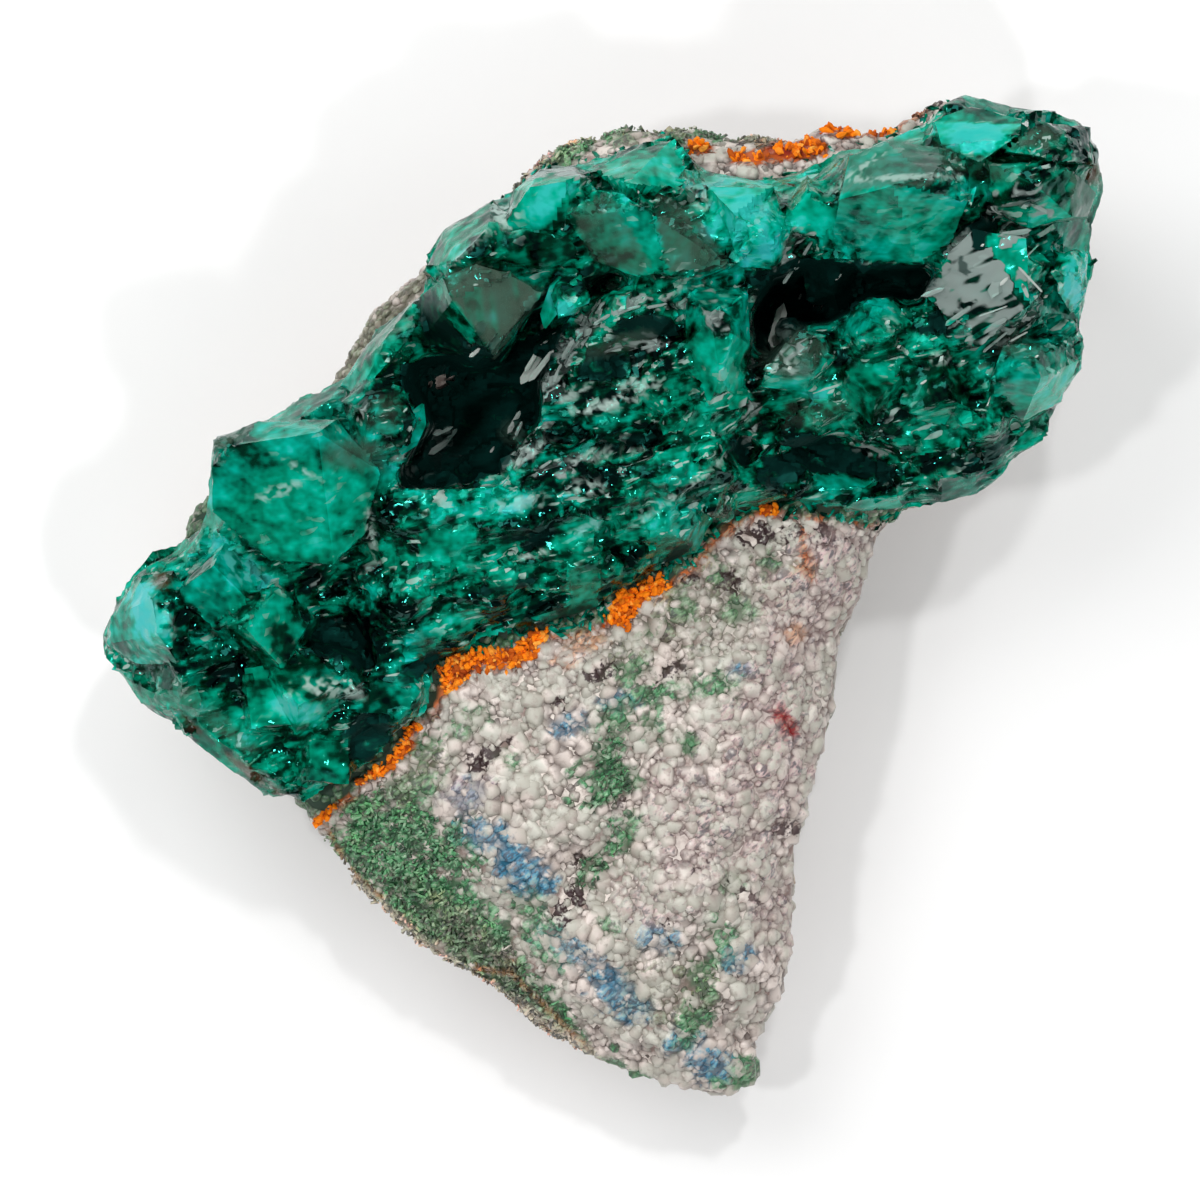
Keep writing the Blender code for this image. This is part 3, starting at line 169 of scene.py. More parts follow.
MOSSY_MARKS = [
    (-9.8, -12.5, 3.8, 2.6, -35, 1.0), (-7.4, -16.0, 2.8, 1.7, -45, 1.0), (-4.9, -18.4, 2.8, 1.3, -45, 1.0),
    (-2.8, -20.8, 2.0, 0.8, -42, 0.8), (-9.6, -15.6, 2.0, 1.0, -45, 1.0),
    (0.6, -9.0, 2.8, 0.9, 80, 0.8), (-0.2, -13.0, 1.6, 0.8, 60, 0.6), (5.2, -20.2, 2.2, 0.7, 70, 0.5),
    (-1.3, 22.8, 4.2, 1.0, 28, 1.0), (4.6, 23.6, 1.4, 0.8, 0, 1.0), (8.0, 23.2, 1.8, 0.9, 10, 0.7),
    (12.2, 23.8, 1.7, 0.7, 10, 1.0), (16.6, 24.9, 1.2, 0.7, 40, 1.0), (-12.0, 13.4, 3.8, 1.4, 46, 1.0),
    (-15.8, 9.8, 3.0, 1.2, 28, 1.0),
]
RED_MARKS = [(9.35, -6.2, 0.8, 0.4, -45, 1.0), (9.4, 22.6, 1.0, 0.4, 0, 0.8)]

# Marks in the crystals, in the same form, and outlines of facets with their strength; most are painted light, shade,
# reflections, sheen and glints

# Painted light: patches painted brighter teal where the crystals would catch or pass the light
PAINTED_LIGHT_MARKS = [
    (-22.4, -0.6, 1.5, 0.9, -50, 1.0), (-18.2, 1.9, 1.7, 0.8, -45, 1.0), (-15.2, -5.4, 1.3, 0.6, -20, 0.9),
    (-11.2, 12.6, 3.0, 0.4, 48, 0.25), (-18.4, 5.2, 1.2, 1.6, 0, 0.4), (-5.8, 4.9, 0.7, 0.4, 10, 0.8),
    (7.4, 18.4, 1.9, 1.8, 0, 0.8), (5.9, 13.4, 1.2, 2.0, 0, 0.2), (6.4, 20.8, 2.4, 0.6, -4, 0.7),
    (-2.0, 14.6, 0.7, 1.0, 20, 0.9), (1.4, 20.8, 2.0, 1.2, 10, 0.6), (-2.4, 19.6, 1.6, 0.8, 5, 0.4),
    (14.0, 17.8, 2.6, 1.0, 8, 0.3), (-15.6, 4.6, 2.6, 2.2, 0, 0.35), (21.8, 11.0, 1.8, 1.4, 0, 0.3),
    (13.5, 13.7, 1.1, 1.0, 0, 0.4), (-5.6, 4.6, 2.6, 0.6, 8, 0.5), (-0.6, 3.4, 1.6, 0.7, 22, 0.6),
    (-17.2, -7.2, 2.4, 0.9, -35, 0.4), (-13.4, -9.6, 1.4, 0.7, -30, 0.5), (10.4, 19.6, 1.0, 1.4, 0, 0.4),
    (-7.2, 17.0, 1.6, 0.25, 42, 0.9), (16.6, 9.0, 1.8, 0.8, 20, 0.25), (-8.6, -2.0, 2.0, 0.7, 30, 0.4),
    (-7.0, 2.6, 2.0, 0.9, 20, 0.4), (2.6, 4.0, 1.6, 0.7, 30, 0.4), (18.6, 20.2, 0.9, 0.4, -10, 0.6),
]
# Painted light: outlined facets painted brighter teal, as if lit
PAINTED_LIGHT_FACETS = [
    ([(16.4, 23.6), (20.8, 23.4), (18.6, 21.8), (16.8, 22.5)], 1.0),
    ([(22.6, 17.2), (24.6, 17.4), (24.8, 15.5), (23.9, 14.0), (23.1, 15.0)], 1.0),
    ([(-12.9, 10.4), (-11.8, 10.6), (-9.6, 13.6), (-8.7, 15.4), (-9.8, 15.2)], 0.3),
    ([(-4.1, 20.6), (-0.9, 20.7), (-1.4, 18.8), (-3.2, 18.4), (-4.4, 19.4)], 0.35),
]
# Painted shade: dark marks standing for the shadows in the hollows and recesses of the crust
SHADE_MARKS = [
    (-7.2, 7.6, 2.4, 1.9, 0, 1.0), (-6.0, 10.4, 2.4, 1.6, 70, 1.0), (-2.6, 15.0, 1.6, 0.6, 40, 0.8),
    (9.6, 15.3, 2.0, 1.0, 0, 1.0), (13.6, 15.8, 2.8, 0.7, -4, 0.9), (8.3, 13.4, 0.7, 1.3, 0, 0.8),
    (-13.2, -2.1, 2.1, 1.0, -30, 0.9), (-12.4, 1.0, 1.3, 0.7, 30, 0.6), (-11.6, -6.7, 1.5, 1.0, 40, 0.8),
    (-14.0, -8.8, 0.9, 0.5, 0, 0.7), (12.2, 7.0, 2.4, 0.6, -14, 1.0), (6.8, 7.2, 0.6, 0.9, 0, 0.9),
    (1.4, 13.4, 1.6, 0.5, 20, 0.7), (0.6, 11.7, 1.8, 0.4, 15, 0.7), (-4.6, 0.7, 1.6, 0.35, 12, 0.8),
    (-1.9, 8.2, 1.5, 0.5, 5, 0.7), (1.8, 8.0, 1.6, 0.5, 5, 0.7), (-8.3, 14.2, 0.8, 1.2, 10, 0.6),
    (-5.0, 17.6, 1.6, 0.5, 10, 0.6), (-0.6, 15.8, 1.6, 0.5, 25, 0.8), (19.0, 7.2, 1.8, 0.6, 20, 0.6),
    (23.6, 22.6, 0.5, 0.8, 0, 0.6), (-9.0, -3.4, 1.4, 0.5, 35, 0.9), (7.6, 11.2, 0.4, 1.6, 5, 0.5),
    (9.0, 6.2, 1.2, 0.6, -5, 0.7), (17.2, 13.6, 0.4, 0.9, -30, 0.5), (-3.7, 3.1, 1.8, 0.6, 10, 0.6),
    (-1.4, -0.7, 2.6, 0.4, 20, 0.6), (3.9, 2.3, 0.9, 0.3, 50, 0.8), (-8.9, 1.6, 0.5, 0.3, 20, 0.7),
    (-15.8, -2.4, 1.4, 0.6, -60, 0.5), (-17.6, -4.2, 1.6, 0.5, -20, 0.5), (-20.4, -3.0, 1.2, 0.6, -50, 0.4),
    (-14.2, 0.6, 1.2, 0.5, 0, 0.5), (-10.4, 4.4, 0.4, 1.2, -20, 0.5), (15.8, 5.6, 2.4, 0.4, 8, 0.5),
    (21.0, 20.0, 0.8, 0.4, 0, 0.5), (16.6, 11.6, 1.4, 0.4, 20, 0.4), (12.0, 12.0, 0.5, 0.5, 0, 0.6),
    (2.6, 6.6, 2.2, 0.35, 10, 0.6), (-11.0, 10.6, 0.9, 0.3, 50, 0.5), (16.0, 9.0, 2.6, 1.6, 10, 0.3),
    (-19.4, -3.2, 2.2, 1.4, -30, 0.35), (0.4, 11.4, 2.2, 1.6, 10, 0.3), (-4.0, 3.2, 2.4, 0.9, 10, 0.3),
    (-11.0, 12.4, 2.4, 0.7, 48, 0.3), (16.4, 9.4, 2.2, 1.6, 0, 0.4), (21.6, 11.0, 1.8, 1.6, 0, 0.12),
    (-17.2, 2.8, 1.6, 1.3, 0, 0.3), (-17.0, -7.0, 2.0, 1.2, -30, 0.2), (-2.6, 3.4, 2.6, 1.0, 10, 0.3),
    (-7.0, -1.2, 6.4, 1.8, 20, 0.28), (-2.4, 1.2, 3.6, 1.4, 12, 0.25), (-12.4, -2.6, 3.0, 2.2, -20, 0.25),
    (3.0, 12.4, 1.8, 1.2, 10, 0.3), (8.6, 8.4, 1.6, 1.0, 0, 0.3), (-12.0, -4.6, 1.8, 1.2, 20, 0.4),
]
# Painted reflections: facets painted grey-green as if they mirrored the lamps
PAINTED_REFLECTION_MARKS = [
    (14.6, 21.6, 2.8, 1.0, 5, 0.6), (9.6, 12.2, 1.4, 1.1, 20, 0.8), (-11.9, 7.2, 1.3, 0.8, 0, 0.7),
    (-10.8, 13.2, 0.8, 0.5, 30, 0.6), (-4.4, 8.3, 0.5, 0.7, 0, 0.7), (-10.8, 9.2, 1.0, 1.0, 0, 0.4),
    (10.6, 9.4, 1.6, 0.7, 10, 0.4), (20.6, 12.6, 1.4, 0.6, -20, 0.4), (-21.0, -4.6, 2.2, 0.5, -38, 0.5),
    (-19.0, -6.2, 2.0, 0.4, -38, 0.5), (0.8, 12.6, 1.6, 0.4, 18, 0.5), (19.4, 21.2, 1.2, 0.5, -10, 0.5),
]
PAINTED_REFLECTION_FACETS = [
    ([(-7.8, 16.0), (-6.0, 16.6), (-4.5, 16.1), (-2.8, 15.2), (-5.2, 12.0), (-7.3, 14.8)], 1.0),
    ([(-1.5, 19.2), (0.3, 20.0), (2.5, 16.5), (1.9, 16.0), (-0.4, 16.9)], 0.6),
    ([(2.7, 20.2), (4.6, 19.4), (6.4, 16.4), (3.4, 16.2), (2.8, 18.5)], 0.85),
    ([(11.8, 20.0), (12.3, 22.0), (14.0, 22.8), (17.2, 22.3), (18.0, 21.4), (16.0, 20.3), (13.6, 20.2)], 0.65),
    ([(20.0, 22.2), (21.7, 23.4), (22.8, 23.1), (22.0, 22.2)], 0.9),
    ([(23.2, 21.5), (24.6, 20.2), (24.5, 19.0), (23.2, 19.0)], 0.9),
    ([(-19.4, 8.2), (-16.8, 9.0), (-17.8, 7.8), (-19.5, 7.3)], 1.0),
]
# Painted shade: outlines of the shadowed hollows, painted near black
SHADE_FACETS = [
    ([(-9.9, 11.5), (-8.7, 12.1), (-6.0, 12.2), (-5.2, 11.6), (-3.7, 13.0), (-2.8, 13.6), (-1.5, 13.7), (-1.9, 13.0),
      (-3.0, 10.7), (-3.1, 9.0), (-4.1, 7.9), (-4.6, 6.5), (-6.4, 5.9), (-9.9, 5.5), (-9.9, 6.6), (-8.7, 7.1),
      (-7.2, 8.1), (-7.1, 8.7), (-8.7, 8.9), (-9.9, 10.7)], 1.0),
    ([(8.0, 15.5), (8.6, 16.4), (9.5, 16.9), (11.2, 16.9), (12.9, 16.6), (16.1, 16.6), (16.6, 16.0), (15.9, 15.0),
      (14.1, 15.0), (12.9, 14.8), (11.7, 13.9), (10.6, 13.9), (9.8, 13.2), (9.2, 12.6), (8.2, 11.8), (7.9, 13.5)], 1.0),
    ([(9.9, 8.2), (11.9, 8.2), (12.9, 7.2), (14.6, 6.7), (14.6, 5.9), (12.9, 6.2), (10.4, 6.4), (8.0, 6.4),
      (8.0, 7.2), (9.5, 7.3)], 0.8),
    ([(-1.0, 11.2), (-0.6, 12.3), (0.8, 12.2), (1.4, 11.2), (0.2, 10.8)], 0.8),
    ([(0.6, 13.2), (1.2, 13.9), (3.6, 13.9), (3.8, 13.1), (2.0, 12.9)], 0.8),
    ([(-9.0, 15.4), (-8.0, 14.6), (-6.2, 12.2), (-7.2, 12.0), (-8.8, 12.6)], 0.55),
    ([(17.6, 16.6), (17.8, 17.0), (18.3, 16.1), (18.0, 15.9)], 0.9),
    ([(18.2, 18.5), (18.5, 17.2), (18.8, 17.3), (19.1, 18.1), (19.6, 18.3), (19.8, 18.9), (18.9, 18.9)], 0.9),
    ([(15.6, 13.2), (16.7, 14.4), (17.2, 13.6), (17.0, 13.3), (16.5, 13.3), (15.9, 13.1)], 0.9),
]
# Painted sheen: silvery grey to white painted where facets and frills would mirror the lamps
PAINTED_SHEEN_FACETS = [
    ([(15.9, 15.0), (16.4, 15.9), (17.0, 16.4), (17.1, 17.2), (17.6, 18.0), (18.1, 18.4), (18.3, 18.2), (18.5, 17.2),
      (19.1, 17.3), (19.6, 16.7), (20.2, 15.9), (20.4, 15.2), (19.5, 14.7), (18.3, 14.7), (17.7, 14.3), (17.1, 14.0),
      (16.7, 14.4), (16.5, 15.0)], 1.0),
    ([(17.1, 14.0), (18.3, 14.7), (20.4, 15.2), (21.0, 14.1), (20.2, 13.4), (18.4, 12.3), (17.6, 12.9)], 0.55),
    ([(19.6, 18.1), (21.1, 18.3), (21.3, 18.1), (20.3, 17.3), (19.7, 17.2)], 0.9),
    ([(-3.9, 20.7), (-3.0, 21.5), (-1.2, 21.8), (-0.2, 20.7), (-1.5, 20.9)], 0.9),
    ([(9.0, 14.8), (9.6, 13.6), (8.8, 12.5), (8.4, 13.2)], 1.0),
    ([(24.2, 23.9), (25.2, 22.6), (24.6, 21.4)], 0.8),
    ([(-19.5, 8.2), (-18.2, 8.6), (-18.6, 7.9), (-19.6, 7.4)], 0.5),
]
PAINTED_SHEEN_MARKS = [
    (-2.4, 10.9, 0.6, 0.9, 20, 1.0), (-1.7, 12.4, 0.6, 0.9, -20, 1.0), (-0.6, 13.7, 1.0, 0.5, 45, 0.9),
    (1.4, 14.6, 1.6, 0.4, 14, 0.8), (3.4, 14.6, 1.2, 0.3, 0, 0.6), (-3.8, 7.2, 1.0, 0.5, 40, 0.8),
    (-2.2, 6.6, 1.2, 0.4, 10, 0.7), (-7.9, 8.2, 0.9, 0.5, -30, 0.9), (1.6, 12.5, 1.6, 0.4, 10, 0.6),
    (5.6, 14.2, 0.5, 1.2, 20, 0.5), (9.4, 17.2, 0.5, 1.4, -35, 0.6), (9.6, 12.3, 1.2, 0.9, 20, 0.35),
    (13.6, 7.6, 1.2, 0.4, -20, 0.4), (20.6, 19.6, 1.4, 1.2, 0, 0.4), (-9.2, 6.9, 0.9, 1.4, 10, 0.4),
    (7.4, 9.0, 0.5, 0.9, -20, 0.5), (-11.6, 9.4, 0.3, 0.6, 0, 0.6), (-14.2, 1.2, 0.3, 0.9, -20, 0.4),
    (20.6, 13.6, 1.0, 0.3, 32, 0.7), (20.0, 12.8, 1.2, 0.25, 32, 0.6), (21.2, 15.6, 1.0, 0.25, -42, 0.7),
    (19.6, 19.2, 0.6, 0.3, -30, 0.8), (21.6, 19.3, 0.7, 0.3, -25, 0.6),
]
CLEAR_FACETS = [
    ([(-8.6, 16.6), (-7.6, 18.9), (-5.0, 20.4), (-2.6, 20.9), (-1.4, 19.8), (-2.0, 17.6), (-4.0, 16.9),
      (-6.4, 17.6)], 1.0),
    ([(-14.9, 9.6), (-12.4, 12.2), (-9.6, 15.0), (-8.9, 14.0), (-10.6, 12.0), (-11.4, 10.6), (-13.4, 9.0)], 0.9),
    ([(12.0, 20.2), (16.0, 20.3), (17.6, 19.6), (16.6, 17.0), (12.4, 16.9), (10.6, 17.4)], 1.0),
    ([(-18.8, 7.6), (-12.2, 9.0), (-10.4, 7.2), (-10.4, 4.4), (-14.0, 2.2), (-18.6, 3.2)], 0.8),
    ([(4.6, 15.8), (6.2, 15.6), (7.0, 13.0), (6.6, 10.2), (5.0, 10.4), (4.4, 13.0)], 0.6),
    ([(11.4, 11.4), (13.0, 12.4), (14.6, 11.6), (14.6, 10.0), (12.6, 9.6)], 0.5),
    ([(20.4, 13.0), (23.4, 12.6), (24.0, 10.4), (22.6, 8.6), (20.2, 9.6)], 0.6),
    ([(-10.6, 3.6), (-6.2, 4.2), (-5.6, 1.4), (-9.4, 0.4), (-11.0, 1.6)], 0.5),
    ([(-21.0, -2.0), (-17.6, -1.6), (-16.8, -4.6), (-19.6, -5.4), (-22.4, -3.4)], 0.5),
    ([(-14.6, -7.0), (-11.9, -5.6), (-10.6, -7.4), (-12.8, -9.6), (-15.4, -9.2)], 0.5),
]
# Painted glints: pale specks and streaks standing for sparkles on the crystals
PAINTED_GLINT_MARKS = [
    (-16.0, 5.3, 1.0, 0.2, 20, 0.8), (-14.5, 6.3, 0.9, 0.15, -30, 0.8), (-7.9, 8.3, 0.7, 0.25, 60, 0.8),
    (0.5, 9.7, 1.8, 0.3, 12, 0.9), (-3.5, 7.3, 1.2, 0.3, 40, 0.9), (-6.4, 17.4, 1.2, 0.15, 42, 0.9),
    (-4.6, 19.0, 0.7, 0.7, 10, 0.9), (-21.9, -0.9, 0.9, 0.6, -50, 0.8), (-17.9, 1.6, 1.2, 0.5, -45, 0.9),
    (-15.2, -5.2, 0.9, 0.4, -20, 0.8), (-0.8, 5.6, 0.8, 0.4, 0, 0.7), (-3.8, 4.9, 1.2, 0.3, 12, 0.8),
    (-0.8, 3.5, 1.0, 0.2, 25, 0.8), (-3.2, 2.3, 0.5, 0.1, 15, 0.9), (-6.2, 6.2, 1.6, 0.25, 8, 0.8),
    (3.0, 4.6, 1.4, 0.12, 34, 0.8), (5.4, 6.4, 1.2, 0.12, 40, 0.8), (-13.6, -4.4, 1.4, 0.35, -10, 0.8),
    (14.2, 13.7, 0.3, 0.3, 0, 0.9), (22.7, 11.3, 0.25, 0.25, 0, 0.9), (9.4, 11.5, 0.3, 0.3, 0, 0.9),
    (16.8, 12.0, 0.4, 0.3, 0, 0.9), (12.8, 21.2, 1.6, 0.15, 35, 0.7), (15.2, 20.7, 2.2, 0.15, 2, 0.7),
    (8.6, 19.6, 1.4, 0.2, 30, 0.6), (4.8, 20.2, 0.6, 0.6, 0, 0.6), (-11.4, 3.4, 0.2, 1.0, 10, 0.7),
    (-1.0, 10.4, 1.4, 0.2, 30, 0.7), (2.4, 10.6, 1.0, 0.4, 0, 0.6), (0.2, 7.2, 1.8, 0.2, 8, 0.7),
]
RUST_MARKS = [
    (-21.8, 1.0, 0.5, 0.4, 0, 0.9), (24.6, 21.2, 0.4, 0.5, 0, 0.9),
    (-9.8, -7.6, 0.6, 0.8, 0, 0.5), (11.6, 4.3, 1.6, 0.3, 0, 0.6), (-13.0, -10.4, 1.0, 0.4, -30, 0.5),
    (-17.6, -8.6, 1.6, 0.22, -38, 0.9), (-15.6, -10.2, 1.2, 0.25, -38, 0.9), (-20.8, -5.9, 1.2, 0.16, -42, 0.6),
]

# Single crystals that stand out: x and y of both ends, width, tone, share of painted sheen

SINGLE_CRYSTALS = [
    (-3.9, 10.8, -2.6, 12.9, 0.5, 0.8, 1.35), (-3.5, 10.9, -2.3, 12.4, 0.35, 0.8, 1.3),
    (-3.3, 11.6, -2.2, 13.3, 0.3, 0.8, 1.4), (-3.7, 11.4, -2.9, 12.7, 0.25, 0.8, 1.4),
    (-4.6, 8.3, -4.0, 9.4, 0.3, 0.6, 1.2), (-4.3, 8.0, -3.9, 8.9, 0.22, 0.6, 1.1),
    (-2.7, 13.6, -2.0, 15.9, 1.0, 0.62, 0.0), (-1.6, 14.4, -1.0, 16.0, 0.9, 0.5, 0.0),
    (-9.9, 7.4, -8.8, 9.6, 1.5, 0.62, 0.0), (-8.6, 7.3, -7.6, 8.0, 0.4, 0.5, 1.1),
    (-8.4, 8.3, -7.4, 8.7, 0.35, 0.5, 1.1), (-8.0, 7.6, -7.2, 8.6, 0.3, 0.5, 1.0),
    (8.6, 12.5, 9.2, 14.8, 0.75, 0.7, 1.4),
    (-1.9, 11.9, -1.3, 12.9, 0.3, 0.5, 1.1), (-2.3, 10.8, -1.9, 11.7, 0.26, 0.5, 1.1),
    (-1.2, 12.8, -0.6, 13.5, 0.26, 0.5, 1.0), (-0.3, 13.6, 0.5, 14.1, 0.22, 0.5, 1.0),
    (0.9, 14.2, 2.0, 14.5, 0.2, 0.6, 1.0), (2.3, 14.4, 3.3, 14.6, 0.18, 0.6, 0.9),
    (-4.7, 6.9, -4.2, 7.4, 0.22, 0.5, 1.0), (-4.0, 7.3, -3.4, 7.9, 0.22, 0.5, 1.1),
    (-3.0, 6.5, -2.4, 6.9, 0.18, 0.5, 1.0), (9.7, 16.4, 10.5, 17.8, 0.2, 0.5, 0.9),
    (9.1, 15.7, 9.9, 16.9, 0.2, 0.4, 0.9), (10.0, 15.1, 10.1, 15.4, 0.12, 0.6, 1.5),
    (20.8, 16.7, 21.6, 17.5, 0.1, 0.6, 1.1), (20.6, 16.4, 21.8, 15.2, 0.14, 0.6, 1.3),
    (19.7, 15.5, 20.1, 15.9, 0.22, 0.7, 1.4), (20.8, 15.6, 21.1, 14.9, 0.24, 0.7, 1.2),
    (18.7, 14.0, 20.1, 14.5, 0.1, 0.6, 1.2), (20.4, 13.5, 21.1, 14.1, 0.12, 0.6, 1.3),
    (20.3, 12.8, 21.2, 13.3, 0.12, 0.6, 1.3), (19.0, 12.3, 20.2, 13.3, 0.16, 0.6, 1.1),
    (18.1, 12.8, 20.1, 13.9, 0.36, 0.7, 0.7), (17.1, 13.6, 18.3, 14.5, 0.3, 0.7, 0.8),
    (15.9, 15.0, 17.0, 15.4, 0.3, 0.7, 1.1), (19.6, 17.9, 21.2, 18.2, 0.36, 0.7, 1.0),
    (19.3, 19.4, 19.8, 19.0, 0.26, 0.7, 1.2), (21.2, 19.5, 22.0, 19.1, 0.26, 0.6, 0.9),
    (18.7, 17.4, 18.9, 17.5, 0.2, 0.7, 1.5), (22.0, 15.0, 22.2, 15.1, 0.18, 0.7, 1.5),
    (17.9, 11.8, 18.1, 11.9, 0.18, 0.7, 1.5), (16.8, 11.8, 17.0, 12.1, 0.28, 0.7, 1.4),
    (22.6, 11.2, 22.8, 11.3, 0.2, 0.7, 1.5), (21.5, 12.0, 21.7, 12.1, 0.15, 0.7, 1.5),
    (15.9, 10.7, 16.2, 10.9, 0.14, 0.7, 1.5), (14.7, 12.5, 14.9, 12.6, 0.2, 0.7, 1.5),
    (14.1, 13.6, 14.3, 13.8, 0.3, 0.7, 1.4), (9.3, 11.4, 9.5, 11.6, 0.22, 0.7, 1.5),
    (11.7, 15.9, 12.0, 16.2, 0.15, 0.6, 1.3),
    (-6.4, 12.0, -5.9, 12.4, 0.24, 0.6, 1.3), (-5.5, 7.4, -5.3, 7.7, 0.14, 0.6, 1.4),
]

# Settings that a user would change


class CrystalSettings(bpy.types.PropertyGroup):
    cell: bpy.props.FloatProperty(
        name="Surface Cell", description="Mesh cell of the crust", default=0.2 * MM, unit="LENGTH"
    )
    terrace: bpy.props.FloatProperty(
        name="Terrace", description="Height of the growth steps", default=0.05 * MM, unit="LENGTH"
    )
    roughness: bpy.props.FloatProperty(
        name="Roughness", description="Of a clean crystal face", default=0.07, min=0.0, max=1.0, subtype="FACTOR"
    )
    clear_share: bpy.props.FloatProperty(
        name="Clear", description="Share of the light that passes", default=0.5, min=0.0, max=1.0, subtype="FACTOR"
    )
    index: bpy.props.FloatProperty(name="Refractive Index", description="Of dioptase", default=1.66)
    absorb: bpy.props.FloatProperty(name="Absorption", description="Density of the colour inside", default=5000.0)
    deep: bpy.props.FloatVectorProperty(
        name="Deep Green", description="Darker parts", default=(0.0, 0.045, 0.018), size=3, subtype="COLOR"
    )
    middle: bpy.props.FloatVectorProperty(
        name="Emerald", description="Common body colour", default=(0.0, 0.40, 0.228), size=3, subtype="COLOR"
    )
    bright: bpy.props.FloatVectorProperty(
        name="Bright Teal", description="Lit parts", default=(0.0, 0.76, 0.51), size=3, subtype="COLOR"
    )


class RockSettings(bpy.types.PropertyGroup):
    cell: bpy.props.FloatProperty(
        name="Surface Cell", description="Mesh cell of the rock", default=0.3 * MM, unit="LENGTH"
    )
    grain: bpy.props.FloatProperty(
        name="Grain", description="Size of the sugary grains", default=0.62 * MM, unit="LENGTH"
    )
    cream: bpy.props.FloatVectorProperty(
        name="Grain Colour", description="Clean grains", default=(0.78, 0.72, 0.64), size=3, subtype="COLOR"
    )
    iron: bpy.props.FloatVectorProperty(
        name="Iron Colour", description="The seam", default=(0.98, 0.25, 0.008), size=3, subtype="COLOR"
    )


class StudioSettings(bpy.types.PropertyGroup):
    lens: bpy.props.FloatProperty(name="Lens", description="Focal length in millimetres", default=300.0)
    view_width: bpy.props.FloatProperty(
        name="View Width", description="What the picture spans", default=60.0 * MM, unit="LENGTH"
    )
    key_power: bpy.props.FloatProperty(name="Key Light", description="Radiance of the main light", default=1.0)


# Reading and shaping meshes


def merged_copy(node, name):
    """A CAD node's shape as a new object, its loose triangles joined."""
    mesh = frame["nodes"][node].data.copy()
    mesh.name = name
    mesh.materials.clear()
    bm = bmesh.new()
    bm.from_mesh(mesh)
    bmesh.ops.remove_doubles(bm, verts=bm.verts, dist=0.0005 * MM)
    bm.to_mesh(mesh)
    bm.free()
    ob = bpy.data.objects.new(name, mesh)
    bpy.context.scene.collection.objects.link(ob)
    return ob


def bake(ob):
    """Replace an object's mesh by what its modifiers make of it."""
    graph = bpy.context.evaluated_depsgraph_get()
    graph.update()
    mesh = bpy.data.meshes.new_from_object(ob.evaluated_get(graph), depsgraph=graph)
    ob.modifiers.clear()
    old = ob.data
    ob.data = mesh
    bpy.data.meshes.remove(old)
    mesh.name = ob.name


def even_out(ob, cell):
    remesh = ob.modifiers.new("Even", "REMESH")
    remesh.mode = "VOXEL"
    remesh.voxel_size = cell
    bake(ob)


def tree_of(ob):
    bm = bmesh.new()
    bm.from_mesh(ob.data)
    tree = BVHTree.FromBMesh(bm)
    bm.free()
    return tree


def points_of(mesh):
    flat = np.empty(len(mesh.vertices) * 3, dtype=np.float32)
    mesh.vertices.foreach_get("co", flat)
    return flat.reshape(-1, 3)


def put_points(mesh, points):
    mesh.vertices.foreach_set("co", points.astype(np.float32).ravel())
    mesh.update()


def normals_of(mesh):
    flat = np.empty(len(mesh.vertices) * 3, dtype=np.float32)
    mesh.vertices.foreach_get("normal", flat)
    return flat.reshape(-1, 3)


def put_attribute(mesh, name, kind, values):
    found = mesh.attributes.get(name)
    if found:
        mesh.attributes.remove(found)
    layer = mesh.attributes.new(name, kind, "POINT")
    field = "value" if kind == "FLOAT" else "color"
    layer.data.foreach_set(field, np.asarray(values, dtype=np.float32).ravel())


def facets_of(ob, limit=12.0):
    """The flat facets of a mesh: each face's facet, and each facet's normal, centre and area."""
    bm = bmesh.new()
    bm.from_mesh(ob.data)
    bm.faces.ensure_lookup_table()
    number = np.full(len(bm.faces), -1, dtype=np.int32)
    normals, centres, areas = [], [], []
    near = math.cos(math.radians(limit))
    for first in bm.faces:
        if number[first.index] >= 0:
            continue
        facet = len(areas)
        number[first.index] = facet
        queue, area, centre = [first], 0.0, Vector((0, 0, 0))
        while queue:
            face = queue.pop()
            part = face.calc_area()
            area += part
            centre += part * face.calc_center_median()
            for edge in face.edges:
                for other in edge.link_faces:
                    if number[other.index] < 0 and other.normal.dot(first.normal) > near:
                        number[other.index] = facet
                        queue.append(other)
        normals.append(first.normal.copy())
        centres.append(centre / max(area, 1e-12))
        areas.append(area)
    bm.free()
    return number, np.array(normals), np.array(centres), np.array(areas)


def facet_frames(normals, centres, seed):
    """For each facet, an along and an across direction that change slowly over the specimen."""
    shifts = (Vector((0.0, 0.0, 0.0)), Vector((11.3, 4.7, -6.1)), Vector((-8.9, 13.7, 5.3)))
    along, across = [], []
    for normal, centre in zip(normals, centres):
        place = Vector(centre) / (7.0 * MM) + Vector((seed, 2.3 * seed, -seed))
        normal = Vector(normal)
        lean = Vector([noise.noise(place + shift) for shift in shifts]) + Vector((0.35, 0.12, 0.5))
        lean = lean - normal * lean.dot(normal)
        lean = lean.normalized() if lean.length > 1e-4 else normal.orthogonal().normalized()
        along.append(lean)
        across.append(normal.cross(lean))
    return np.array(along), np.array(across)


